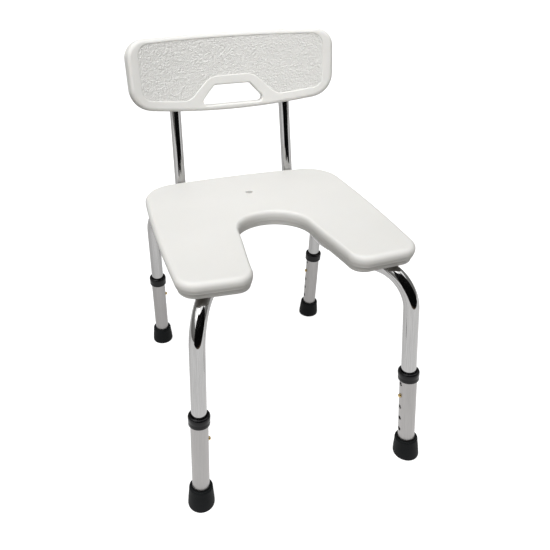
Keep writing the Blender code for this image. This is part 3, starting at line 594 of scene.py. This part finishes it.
def seat_outline():
    """Whole outline and, point by point, how much of the edge rounding it takes."""
    notch = arc(0, NOTCH_Y, NOTCH_R, NOTCH_R, math.pi / 2, 0, 26)
    corner_y = seat_front_y(0.11) + NOTCH_CORNER
    corner_x = NOTCH_R + NOTCH_FLARE * (NOTCH_Y - corner_y)
    for i in range(1, 12):
        u = i / 12
        ease = u * u * (3 - 2 * u) * 0.25 + u * 0.75
        notch.append((NOTCH_R + (corner_x - NOTCH_R) * ease, NOTCH_Y + (corner_y - NOTCH_Y) * u))
    kinds = [NOTCH_ROUND] * len(notch)
    centre = corner_x + NOTCH_CORNER
    drop = corner_y - seat_front_y(centre)
    nose = arc(centre, corner_y, NOTCH_CORNER, drop, math.pi, math.pi * 1.5, 16)
    for i in range(len(nose)):
        kinds.append(NOTCH_ROUND + (1 - NOTCH_ROUND) * i / (len(nose) - 1))
    front_y = SEAT_FRONT + SEAT_FRONT_BOW + SEAT_CORNER_FRONT
    front_x = seat_half(front_y) - SEAT_CORNER_FRONT
    run = []
    for i in range(1, 8):
        x = centre + (front_x - centre) * i / 8
        run.append((x, seat_front_y(x)))
    depth = front_y - seat_front_y(front_x)
    outer = arc(front_x, front_y, SEAT_CORNER_FRONT, depth, -math.pi / 2, 0, 18)
    rear_y = SEAT_REAR - SEAT_REAR_BOW - SEAT_CORNER_REAR
    for i in range(1, 20):
        y = front_y + (rear_y - front_y) * i / 20
        outer.append((seat_half(y), y))
    rear_x = seat_half(rear_y) - SEAT_CORNER_REAR
    depth = seat_rear_y(rear_x) - rear_y
    outer += arc(rear_x, rear_y, SEAT_CORNER_REAR, depth, 0, math.pi / 2, 24)
    for i in range(1, 14):
        x = rear_x * (1 - i / 14)
        outer.append((x, seat_rear_y(x)))
    outer.append((0.0, SEAT_REAR))
    half = notch + nose + run + outer
    kinds += [1.0] * (len(run) + len(outer))
    kinds += [k for k, (x, _) in reversed(list(zip(kinds, half))) if abs(x) > 1e-9]
    return mirrored(half), kinds


def edge_run(half_w, height, corner, turn, count, arc_count):
    """From the middle to the side: an edge that turns slowly by `turn`, then a round corner."""
    end = half_w - corner * (1 - math.sin(turn))
    fall = end * math.tan(turn) / 2
    points = []
    for i in range(count):
        x = end * i / count
        points.append((x, height - fall * (x / end) ** 2))
    middle = height - fall - corner * math.cos(turn)
    return points + arc(half_w - corner, middle, corner, corner, math.pi / 2 - turn, 0, arc_count)


def panel_outline():
    """Outline of the back panel: long soft edges, the lower corners rounder than the upper ones."""
    low = edge_run(PANEL_HALF_W, PANEL_HALF_H, PANEL_LOW_CORNER, PANEL_LOW_TURN, 18, 22)
    top = edge_run(PANEL_HALF_W, PANEL_HALF_H, PANEL_TOP_CORNER, PANEL_TOP_TURN, 18, 20)
    return mirrored([(x, -y) for x, y in low] + top[::-1])


def smooth_run(points, radius, count):
    """A polyline whose inner corners are rounded."""
    out = [points[0]]
    for before, corner, after in zip(points, points[1:], points[2:]):
        a = Vector(before) - Vector(corner)
        b = Vector(after) - Vector(corner)
        reach = min(radius, a.length * 0.45, b.length * 0.45)
        p = Vector(corner) + a.normalized() * reach
        q = Vector(corner) + b.normalized() * reach
        for i in range(count + 1):
            u = i / count
            point = p * (1 - u) ** 2 + Vector(corner) * 2 * u * (1 - u) + q * u * u
            out.append((point.x, point.y))
    return out + [points[-1]]


def grain_outline():
    """Edge of the grained field: follows the panel, and arches over the hand hold."""
    side = GRAIN_SIDE
    foot = GRAIN_LOW + 0.0060
    arch = smooth_run([(0.0, GRAIN_CREST), (0.0440, GRAIN_CREST), (0.0900, GRAIN_LOW - 0.0015),
                       (side - GRAIN_CORNER, foot)], 0.016, 8)
    half = arch[:-1]
    half += arc(side - GRAIN_CORNER, foot + GRAIN_CORNER, GRAIN_CORNER, GRAIN_CORNER, -math.pi / 2, 0, 14)
    half += edge_run(side, GRAIN_TOP, GRAIN_CORNER, PANEL_TOP_TURN, 16, 14)[::-1]
    return mirrored(half)


def grip_outline(grow=0.0):
    """Hand hold: a round-cornered opening, wider along its lower edge."""
    r = GRIP_CORNER
    half = [(0.0, GRIP_BOTTOM - grow)]
    half += arc(GRIP_HALF_BOTTOM - r, GRIP_BOTTOM + r, r + grow, r + grow, -math.pi / 2, math.pi / 5, 14)
    half += arc(GRIP_HALF_TOP - r, GRIP_TOP - r, r + grow, r + grow, math.pi / 5, math.pi / 2, 10)
    half.append((0.0, GRIP_TOP + grow))
    return mirrored(half)


# ---------------------------------------------------------------- where things are
def foot_point(side, end):
    """Middle of a foot on the floor. side is -1 for left and 1 for right, end is -1 for front."""
    return Vector((side * (FOOT_X_FRONT if end < 0 else FOOT_X_REAR), end * FOOT_Y, 0))


def lean(side, end):
    """Direction up a leg, per metre of height."""
    return Vector((-side * (LEAN_X_FRONT if end < 0 else LEAN_X_REAR), -end * LEAN_Y, 1))


def leg_matrix(side, end):
    """A leg's own frame: z up the leg from its foot, x toward the chair's middle."""
    up = lean(side, end).normalized()
    across = Vector((-side, 0, 0))
    across = (across - up * across.dot(up)).normalized()
    turn = Matrix((across, up.cross(across), up)).transposed().to_4x4()
    return Matrix.Translation(foot_point(side, end)) @ turn


def rail_points(side):
    """Corners of a side tube from front leg to rear leg, before its bends are rounded."""
    points = []
    for end in (-1, 1):
        knee = foot_point(side, end) + lean(side, end) * RAIL_Z
        tail = foot_point(side, end) + lean(side, end).normalized() * FRAME_END
        run = abs(knee.x) - RAIL_X
        joint = Vector((side * RAIL_X, knee.y - end * run / math.tan(RAIL_SKEW), RAIL_Z))
        points.append([tail, knee, joint])
    front, rear = points
    return front + rear[::-1]


def back_x(z):
    """How far a back tube is from the middle plane at height z: the two converge upward."""
    return BACK_X - BACK_CONVERGE * (z - SEAT_TOP)


def back_axis_y(z):
    """Where a back tube is along y at height z: the two lean rearward."""
    return BACK_Y + BACK_RAKE * (z - SEAT_TOP)


def bow(x):
    """How far the panel's middle surface reaches forward at x compared with its middle."""
    return PANEL_BOW * (x / PANEL_HALF_W) ** 2


def bow_slope(x):
    return 2 * PANEL_BOW * x / PANEL_HALF_W ** 2


def panel_middle():
    """Local z of the middle surface at x = 0, such that the back face just clears the tubes."""
    clear = PANEL_THICK / 2 + PANEL_GAP + BACK_R
    foot = back_x(PANEL_Z) / (1 + clear * bow_slope(1.0))
    return bow(foot) - clear / math.hypot(1, bow_slope(foot))


def panel_matrix():
    """The panel's own frame: y up the rake, z rearward."""
    up = Vector((0, BACK_RAKE, 1)).normalized()
    across = Vector((-1, 0, 0))
    out = across.cross(up)
    turn = Matrix((across, up, out)).transposed().to_4x4()
    return Matrix.Translation(Vector((0, back_axis_y(PANEL_Z), PANEL_Z))) @ turn


# ---------------------------------------------------------------- seat
def build_seat():
    """Lofted through insets of its outline, from the underside up over the rounded top edge."""
    outline, kinds = seat_outline()
    knee = SEAT_PARTING - SEAT_DRAFTED
    slope = math.tan(SEAT_DRAFT)
    drawn = SEAT_DRAFTED * slope
    levels = [(SEAT_ROUND_BOTTOM + 0.0012, SEAT_UNDER)]
    for a in quarter(10):
        levels.append((drawn + (SEAT_ROUND_BOTTOM - drawn) * (1 - math.sin(a)) ** 1.15,
                       SEAT_UNDER + knee * (1 - math.cos(a)) ** 1.15))
    for height, raised in ((SEAT_SEAM - 0.0007, 0), (SEAT_SEAM - 0.0002, SEAM), (SEAT_SEAM + 0.0002, SEAM),
                           (SEAT_SEAM + 0.0007, 0), (SEAT_PARTING - 0.0020, 0)):
        levels.append(((SEAT_PARTING - height) * slope - raised, SEAT_UNDER + height))
    levels += [(0.0002, SEAT_UNDER + SEAT_PARTING), (0.0, SEAT_UNDER + SEAT_PARTING + 0.0010)]
    for a in quarter(10, 1):
        levels.append((SEAT_ROUND_TOP * (1 - math.cos(a)), SEAT_TOP - SEAT_ROUND_TOP * (1 - math.sin(a))))
    levels.append((SEAT_ROUND_TOP + 0.0012, SEAT_TOP))
    loops = []
    for amount, z in levels:
        loops.append([(x, y, z) for x, y in inset(outline, [amount * k for k in kinds])])
    seat = piece("seat_moulding", loft(loops), ["seat"])

    profile = [(0, SEAT_UNDER - 0.01), (DRAIN_R + DRAIN_LIP, SEAT_UNDER - 0.01)]
    for a in quarter(6):
        profile.append((DRAIN_R + DRAIN_LIP * (1 - math.sin(a)), SEAT_UNDER + DRAIN_LIP * (1 - math.cos(a))))
    profile.append((DRAIN_R + DRAIN_UNDERCUT, SEAT_TOP - DRAIN_UNDERCUT_DEPTH))
    for a in quarter(6):
        profile.append((DRAIN_R + DRAIN_LIP * (1 - math.cos(a)), SEAT_TOP - DRAIN_LIP * (1 - math.sin(a))))
    profile += [(DRAIN_R + DRAIN_LIP, SEAT_TOP + 0.01), (0, SEAT_TOP + 0.01)]
    drain = piece("drain_tool", lathe(profile, 40), ["seat"], Matrix.Translation((0, DRAIN_Y, 0)))
    vent_profile = [(0, SEAT_UNDER - 0.01), (VENT_R, SEAT_UNDER - 0.01), (VENT_R, SEAT_UNDER + 0.012),
                    (0, SEAT_UNDER + 0.012)]
    vent = piece("vent_tool", lathe(vent_profile, 24), ["seat"], Matrix.Translation((0, VENT_Y, 0)))
    carve(seat, [drain, vent])
    stands_for(seat, "seat_frame", "seat_panel")


# ---------------------------------------------------------------- back rest
def crinkle(x, y):
    """Height of the moulded grain: rounded pillows with creases between, pulled about by noise."""
    place = Vector((x, y, 0.0))
    pull = noise.noise_vector(place * 110.0) * 0.0022
    spots = noise.voronoi((place + pull) * 255.0)[0]
    crease = min(1.0, (spots[1] - spots[0]) / 0.35)
    swell = noise.noise(place * 290.0)
    return GRAIN_RELIEF * (0.75 * crease * (2 - crease) + 0.45 * swell - 0.5)


def crinkle_field(bm, floor_z):
    """Cuts the grained field into small squares and raises the crinkle in them."""
    def field():
        faces = [face for face in bm.faces if face.material_index == 1]
        edges = dict.fromkeys(edge for face in faces for edge in face.edges)
        verts = dict.fromkeys(vert for face in faces for vert in face.verts)
        return faces + list(edges) + list(verts)

    for axis, half in ((0, GRAIN_SIDE), (1, GRAIN_TOP)):
        count = int(half / GRAIN_STEP)
        for i in range(-count, count + 1):
            co = [0.0, 0.0, 0.0]
            no = [0.0, 0.0, 0.0]
            co[axis] = (i + 0.37) * GRAIN_STEP
            no[axis] = 1.0
            bmesh.ops.bisect_plane(bm, geom=field(), dist=1e-6, plane_co=co, plane_no=no)
    for vert in bm.verts:
        if abs(vert.co.z - floor_z) < 1e-5 and all(face.material_index == 1 for face in vert.link_faces):
            vert.co.z -= crinkle(vert.co.x, vert.co.y)


def flat_loops(outline_at, levels):
    """Loops for loft: an outline for each amount, laid at its level."""
    return [[(x, y, z) for x, y in outline_at(amount)] for amount, z in levels]


def panel_solid(back_face, front_face):
    """The panel's block with rounded edges and a raised parting seam."""
    outline = panel_outline()
    levels = [(PANEL_ROUND + 0.0010, front_face)]
    for a in quarter(10):
        levels.append((PANEL_ROUND * (1 - math.sin(a)), front_face + PANEL_ROUND * (1 - math.cos(a))))
    parting = front_face + PANEL_THICK * PANEL_PARTING
    levels += [(0.0, parting - 0.0006), (PANEL_SEAM, parting - 0.0001), (PANEL_SEAM, parting + 0.0001),
               (0.0, parting + 0.0006)]
    rear_round = PANEL_ROUND * 0.8
    for a in quarter(10):
        levels.append((rear_round * (1 - math.cos(a)), back_face - rear_round * (1 - math.sin(a))))
    levels.append((rear_round + 0.0010, back_face))
    return loft(flat_loops(lambda amount: inset(outline, [amount] * len(outline)), levels))


def field_tool(front_face, reach):
    """Cuts the grained field's recess. The face that leaves the recess's floor carries the grain."""
    field = grain_outline()
    levels = [(-FIELD_LIP, front_face - reach)]
    for a in quarter(5):
        levels.append((-FIELD_LIP * (1 - math.sin(a)), front_face + 0.5 * GRAIN_DEPTH * (1 - math.cos(a))))
    for a in quarter(5, 1):
        levels.append((FIELD_LIP * (1 - math.cos(a)), front_face + 0.5 * GRAIN_DEPTH * (1 + math.sin(a))))
    solid = loft(flat_loops(lambda amount: inset(field, [amount] * len(field)), levels))
    tool = piece("field_tool", solid, ["back", "grain"])
    for face in tool.data.polygons:
        if face.normal.z > 0.9 and abs(face.center.z - front_face - GRAIN_DEPTH) < 1e-5:
            face.material_index = 1
    return tool


def grip_tool(back_face, front_face, reach):
    """Cuts the hand hold, with a rounded lip on both faces."""
    levels = [(GRIP_LIP, front_face - reach)]
    for a in quarter(8):
        levels.append((GRIP_LIP * (1 - math.sin(a)), front_face + GRIP_LIP * (1 - math.cos(a))))
    for a in quarter(8):
        levels.append((GRIP_LIP * (1 - math.cos(a)), back_face - GRIP_LIP * (1 - math.sin(a))))
    levels.append((GRIP_LIP, back_face + reach))
    return piece("grip_tool", loft(flat_loops(grip_outline, levels)), ["back"])


def build_panel():
    """Built flat, cut across into slices and bent, so that its edges follow the bow."""
    back_face = PANEL_THICK / 2
    front_face = -PANEL_THICK / 2
    reach = 0.02
    panel = piece("back_moulding", panel_solid(back_face, front_face), ["back", "grain"])
    field = field_tool(front_face, reach)
    grip = grip_tool(back_face, front_face, reach)
    vent_profile = [(0, back_face - 0.008), (PANEL_VENT_R, back_face - 0.008),
                    (PANEL_VENT_R, back_face + reach), (0, back_face + reach)]
    vent_place = Matrix.Translation((0, PANEL_VENT_Y, 0))
    vent = piece("panel_vent_tool", lathe(vent_profile, 24), ["back"], vent_place)
    carve(panel, [field, grip, vent])

    bm = bmesh.new()
    bm.from_mesh(panel.data)
    bmesh.ops.triangulate(bm, faces=[face for face in bm.faces if len(face.verts) > 4])
    slices = 34
    for i in range(-slices + 1, slices):
        geometry = bm.verts[:] + bm.edges[:] + bm.faces[:]
        x = PANEL_HALF_W * i / slices
        bmesh.ops.bisect_plane(bm, geom=geometry, dist=1e-6, plane_co=(x, 0, 0), plane_no=(1, 0, 0))
    crinkle_field(bm, front_face + GRAIN_DEPTH)
    middle = panel_middle()
    for vert in bm.verts:
        x, y, z = vert.co
        tilt = math.hypot(1, bow_slope(x))
        vert.co = (x + z * bow_slope(x) / tilt, y, middle - bow(x) + z / tilt)
    bmesh.ops.transform(bm, matrix=panel_matrix(), verts=bm.verts)
    bm.to_mesh(panel.data)
    bm.free()
    shade(panel.data)
    stands_for(panel, "back_rest", "back_panel")


def cap_profile():
    """Radius and height of a tube cap, from its plug up over its rounded head."""
    profile = [(0, -0.010), (0.0088, -0.010), (0.0094, 0.0002), (0.0107, 0.0003), (0.0109, 0.0007)]
    for a in quarter(8, 1)[:-1]:
        profile.append((0.0075 + 0.0034 * math.cos(a), 0.0008 + 0.0026 * math.sin(a)))
    return profile + [(0.0070, 0.0034), (0, 0.0040)]


def build_back_tubes():
    for name, side in SIDES.items():
        x = back_x(SOCKET_Z)
        top = Vector((side * back_x(BACK_TOP), back_axis_y(BACK_TOP), BACK_TOP))
        bend = Vector((side * x, back_axis_y(SOCKET_Z), SOCKET_Z))
        tail = Vector((side * x, STUB_FRONT, SOCKET_Z))
        path = bent_path([top, bend, tail], [BACK_BEND_R])
        tube = piece(f"back_upright_{name}", sweep(path, BACK_R, BACK_R - BACK_WALL), ["chrome"])
        stands_for(tube, "back_rest", f"back_tube_{name}")
        axis = (path[0] - path[1]).normalized()
        cap = piece(f"tube_cap_{name}", aimed(lathe(cap_profile(), 40), top, top + axis), ["plug"])
        stands_for(cap, "back_rest", f"back_plug_{name}")


# ---------------------------------------------------------------- frame and legs
def build_frame():
    for name, side in SIDES.items():
        path = bent_path(rail_points(side), [LEG_BEND_R, RAIL_BEND_R, RAIL_BEND_R, LEG_BEND_R])
        tube = piece(f"side_rail_{name}", sweep(path, FRAME_R, FRAME_R - FRAME_WALL), ["chrome"])
        stands_for(tube, "seat_frame", f"side_tube_{name}")


def snap_button(root, shoulder, tip, radius):
    """Domed peg about local +Z, from its flat root to its domed tip."""
    dome = tip - shoulder
    profile = [(0, root), (radius - 0.0003, root), (radius, root + 0.0003), (radius, shoulder)]
    for a in quarter(8, 1)[:-1]:
        profile.append((radius * math.cos(a), shoulder + dome * math.sin(a)))
    profile.append((0, tip))
    return lathe(profile, 32)


def lower_tube():
    """Lower leg tube in the leg's own frame, before its holes are cut."""
    tube = [(LEG_OUTER_R - SOFT_EDGE, LEG_BOTTOM), (LEG_OUTER_R, LEG_BOTTOM + SOFT_EDGE),
            (LEG_OUTER_R, LEG_TOP - SOFT_EDGE), (LEG_OUTER_R - SOFT_EDGE, LEG_TOP), (LEG_INNER_R, LEG_TOP),
            (LEG_INNER_R, LEG_BOTTOM)]
    return lathe(tube, 72, closed=True)


def hole_tools():
    """Cut the adjusting holes, each with a softened rim."""
    drill = [(0, 0.006), (HOLE_R, 0.006), (HOLE_R, LEG_OUTER_R - HOLE_LIP), (HOLE_R + HOLE_LIP, LEG_OUTER_R),
             (HOLE_R + HOLE_LIP, 0.020), (0, 0.020)]
    tools = []
    for k in range(HOLE_COUNT):
        s = HOLE_FIRST + k * HOLE_PITCH
        tools.append(piece(f"hole_tool_{k}", aimed(lathe(drill, 32), (0, 0, s), (1, 0, s)), ["satin"]))
    return tools


def rubber_foot(place):
    """Tapering foot. Its lower end is sheared so that it stands flat though the leg leans."""
    level = place.to_3x3().inverted() @ Vector((0, 0, 1))

    def flat(r, z, a):
        keep = min(max(z / FOOT_EASE, 0.0), 1.0)
        ease = 1 - keep * keep * (3 - 2 * keep)
        return -ease * r * (level.x * math.cos(a) + level.y * math.sin(a)) / level.z

    socket = [(SLEEVE_R, FOOT_RIM), (SLEEVE_R, LEG_BOTTOM - GAP), (0, LEG_BOTTOM - GAP)]
    foot = lathe(FOOT_PROFILE + socket, 64, tilt=flat)
    for vert in foot.verts:
        if vert.co.xy.length < SLEEVE_R + 1e-6 and vert.co.z > FOOT_TREAD:
            vert.co.z = FOOT_RIM if vert.co.z > FOOT_EASE else LEG_BOTTOM - GAP
    return foot


def build_legs():
    for name, (side, end) in CORNERS.items():
        body = f"leg_{name}_body"
        place = leg_matrix(side, end)
        leg = piece(f"lower_leg_{name}", lower_tube(), ["satin"])
        carve(leg, hole_tools())
        leg.data.transform(place)
        shade(leg.data)
        stands_for(leg, body, f"leg_{name}")

        ring = piece(f"lock_collar_{name}", lathe(COLLAR_PROFILE, 64, closed=True), ["collar"], place)
        stands_for(ring, body, f"collar_{name}")

        foot = piece(f"rubber_foot_{name}", rubber_foot(place), ["tip"], place)
        stands_for(foot, body, f"tip_{name}")

        peg = place @ Matrix.Translation((0, 0, BUTTON_S)) @ Matrix.Rotation(math.pi / 2, 4, "Y")
        button = piece(f"leg_peg_{name}", snap_button(0.0085, 0.0164, 0.0184, 0.0032), ["brass"], peg)
        stands_for(button, f"leg_button_{name}_body", f"leg_button_{name}")


def build_back_buttons():
    for name, side in SIDES.items():
        at = Vector((side * back_x(SOCKET_Z), BACK_BUTTON_Y, SOCKET_Z))
        place = Matrix.Translation(at) @ Matrix.Rotation(math.pi, 4, "X")
        button = piece(f"back_peg_{name}", snap_button(0.0070, 0.0146, 0.0166, 0.0030), ["brass"], place)
        stands_for(button, f"back_button_{name}_body", f"back_button_{name}")


# ---------------------------------------------------------------- finish for the carried-over nodes
def finish_nodes():
    """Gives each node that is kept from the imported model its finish."""
    looks = {"cross_strap": "mill", "back_socket": "mill", "seat_bolt": "steel", "socket_screw": "steel",
             "back_screw": "steel", "leg_spring": "spring", "back_spring": "spring"}
    for name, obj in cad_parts.items():
        for start, look in looks.items():
            if name.startswith(start):
                obj.data.materials.clear()
                obj.data.materials.append(MATS[look])


# ---------------------------------------------------------------- stage
WORLD_ABOVE = (0.285, 0.285, 0.280)
WORLD_BELOW = (0.050, 0.041, 0.028)
WORLD_TURN = 0.35
FLOOR_HALF = 60.0
FLOOR_LIGHT = 0.90
GLOW_HALF = 9.0
GLOW_FRONT = 1.0
# reflected floor glow from the chair's rear edge backward: lowered as painted shade under and behind the
# chair
GLOW_REAR_PAINTED_SHADE = 0.74
CEILING_Z = 2.7
CEILING_X = (-3.4, 2.6)
CEILING_Y = (-3.6, 1.2)
CEILING_LIGHT = 1.5
FLAG_R = 1.15
FLAG_MIDDLE = math.radians(-84)
FLAG_SPREAD = math.radians(54)
FLAG_TOP = 2.6
CAMERA_PLACE = (-0.27724, -0.84423 - BOX_MIDDLE_Y, 0.82074)
CAMERA_YAW = 0.2416
CAMERA_PITCH = 0.5159
CAMERA_ROLL = 0.0323


def place_object(name, data):
    obj = bpy.data.objects.new(name, data)
    bpy.context.scene.collection.objects.link(obj)
    return obj


def stage_mesh(name, verts, faces, mat):
    mesh = bpy.data.meshes.new(name)
    mesh.from_pydata(verts, [], faces)
    mesh.materials.append(mat)
    obj = place_object(name, mesh)
    return obj


def stage_plane(name, xs, ys, z, mat):
    verts = [(xs[0], ys[0], z), (xs[1], ys[0], z), (xs[1], ys[1], z), (xs[0], ys[1], z)]
    return stage_mesh(name, verts, [(0, 1, 2, 3)], mat)


def glowing(name, **values):
    """A surface that only gives light."""
    m = Nodes(name)
    m.put(Base_Color=(0, 0, 0, 1), Roughness=1.0, Specular_IOR_Level=0.0, **values)
    return m


def build_floor():
    """Plain pale floor: the camera sees it, the chair isn't lit by it."""
    m = Nodes("floor_white")
    tone = m.noise(m.coords(), 2.0, 2.0)
    m.link(m.colours(tone, [(0.3, (0.39, 0.39, 0.39)), (0.7, (0.40, 0.40, 0.40))]),
           m.shader.inputs["Base Color"])
    m.put(Roughness=0.75, Specular_IOR_Level=0.2, Emission_Color=(1, 1, 1, 1), Emission_Strength=FLOOR_LIGHT)
    floor = stage_plane("floor", (-FLOOR_HALF, FLOOR_HALF), (-FLOOR_HALF, FLOOR_HALF), 0, m.mat)
    floor.visible_diffuse = False
    floor.visible_glossy = False


def build_cards():
    """What the polished tubes reflect: a pale floor that dims toward the rear as painted shade under and
    behind the chair, a pale ceiling, and a black flag in front.
    """
    shine = glowing("floor_shine_with_painted_shade", Emission_Color=(1, 1, 1, 1))
    split = shine.add("ShaderNodeSeparateXYZ")
    shine.link(shine.coords(), split.inputs["Vector"])
    # painted shade: the reflected floor glow dims from front to rear across the chair, standing in for the
    # shade under and behind it
    shine.link(shine.ramp(split.outputs["Y"], -0.20, 0.20, GLOW_FRONT, GLOW_REAR_PAINTED_SHADE),
               shine.shader.inputs["Emission Strength"])
    glow = stage_plane("floor_glow", (-GLOW_HALF, GLOW_HALF), (-GLOW_HALF, GLOW_HALF), 0.0005, shine.mat)

    panel = glowing("ceiling_shine", Emission_Color=(1, 1, 1, 1), Emission_Strength=CEILING_LIGHT)
    ceiling = stage_plane("ceiling_glow", CEILING_X, CEILING_Y, CEILING_Z, panel.mat)

    black = glowing("flag_black", Emission_Strength=1.0)
    split = black.add("ShaderNodeSeparateXYZ")
    black.link(black.coords(), split.inputs["Vector"])
    black.link(black.colours(split.outputs["Z"], [(0.04, (0.10, 0.06, 0.03)), (0.11, (0.004, 0.004, 0.004))]),
               black.shader.inputs["Emission Color"])
    verts = []
    count = 48
    for i in range(count + 1):
        u = 2 * i / count - 1
        a = FLAG_MIDDLE + FLAG_SPREAD * u
        for z in (0.002 + 0.22 * u * u, FLAG_TOP - 0.2 * u * u):
            verts.append((FLAG_R * math.cos(a), FLAG_R * math.sin(a), z))
    faces = [(2 * i, 2 * i + 2, 2 * i + 3, 2 * i + 1) for i in range(count)]
    flag = stage_mesh("flag", verts, faces, black.mat)

    for obj in (flag, glow, ceiling):
        obj.visible_camera = False
        obj.visible_diffuse = False
        obj.visible_shadow = False


def build_world():
    """White to the camera. Other rays see a soft light from above that fades to a warm dark below."""
    world = bpy.data.worlds.new("studio")
    world.use_nodes = True
    tree = world.node_tree
    rays = tree.nodes.new("ShaderNodeLightPath")
    level = tree.nodes.new("ShaderNodeMix")
    level.data_type = "RGBA"
    level.inputs[7].default_value = (1, 1, 1, 1)
    tree.links.new(rays.outputs["Is Camera Ray"], level.inputs["Factor"])
    where = tree.nodes.new("ShaderNodeTexCoord")
    split = tree.nodes.new("ShaderNodeSeparateXYZ")
    height = tree.nodes.new("ShaderNodeMapRange")
    height.data_type = "FLOAT_VECTOR"
    height.inputs[7].default_value = (-WORLD_TURN,) * 3
    height.inputs[8].default_value = (WORLD_TURN,) * 3
    height.inputs[9].default_value = WORLD_BELOW
    height.inputs[10].default_value = WORLD_ABOVE
    tree.links.new(where.outputs["Generated"], split.inputs["Vector"])
    tree.links.new(split.outputs["Z"], height.inputs[6])
    tree.links.new(height.outputs["Vector"], level.inputs[6])
    tree.links.new(level.outputs[2], tree.nodes["Background"].inputs["Color"])
    bpy.context.scene.world = world


def softbox(name, place, target, size, power):
    light = bpy.data.lights.new(name, "AREA")
    light.shape = "RECTANGLE"
    light.size, light.size_y = size
    light.energy = power
    obj = place_object(name, light)
    obj.location = place
    obj.rotation_euler = (Vector(target) - Vector(place)).to_track_quat("-Z", "Y").to_euler()
    return obj


def build_lights():
    """Broad light from above and in front, a spot on the back rest and a weak fill behind."""
    softbox("key", (-0.9, -0.7, 2.2), (0, 0, 0.4), (1.6, 1.2), 8.0)
    softbox("top", (0.2, 0.5, 2.4), (0, 0, 0.4), (1.8, 1.4), 1.0)
    fill = softbox("fill", (0.4, 2.2, 0.9), (0, 0, 0.5), (1.6, 1.4), 10.0)
    fill.visible_glossy = False

    sky = bpy.data.lights.new("sky", "SUN")
    sky.energy = 1.93
    sky.angle = math.radians(54)
    obj = place_object("sky", sky)
    obj.rotation_euler = Vector((-0.22, -0.43, 0.86)).to_track_quat("Z", "Y").to_euler()
    obj.visible_glossy = False

    spot = bpy.data.lights.new("back_spot", "SPOT")
    spot.energy = 21.0
    spot.spot_size = math.radians(27)
    spot.spot_blend = 0.7
    spot.shadow_soft_size = 0.20
    obj = place_object("back_spot", spot)
    obj.location = (-0.1, -1.3, 1.35)
    obj.rotation_euler = (Vector((0, 0.22, 0.66)) - obj.location).to_track_quat("-Z", "Y").to_euler()


def build_camera():
    """Camera turned a little right, tipped down and rolled, with the picture's middle shifted."""
    level = math.cos(CAMERA_PITCH)
    forward = Vector((math.sin(CAMERA_YAW) * level, math.cos(CAMERA_YAW) * level, -math.sin(CAMERA_PITCH)))
    right = Vector((math.cos(CAMERA_YAW), -math.sin(CAMERA_YAW), 0))
    down = forward.cross(right)
    across = right * math.cos(CAMERA_ROLL) + down * math.sin(CAMERA_ROLL)
    below = down * math.cos(CAMERA_ROLL) - right * math.sin(CAMERA_ROLL)
    camera = bpy.data.cameras.new("camera")
    camera.sensor_width = 36.0
    camera.lens = 35.69
    camera.shift_x = 0.0792
    camera.shift_y = -0.0277
    obj = place_object("camera", camera)
    turn = Matrix((across, -below, -forward)).transposed().to_4x4()
    obj.matrix_world = Matrix.Translation(CAMERA_PLACE) @ turn
    bpy.context.scene.camera = obj
    bpy.context.scene.view_settings.view_transform = "Standard"


build_camera()
build_seat()
build_panel()
build_back_tubes()
build_frame()
build_legs()
build_back_buttons()
finish_nodes()
build_floor()
build_cards()
build_world()
build_lights()
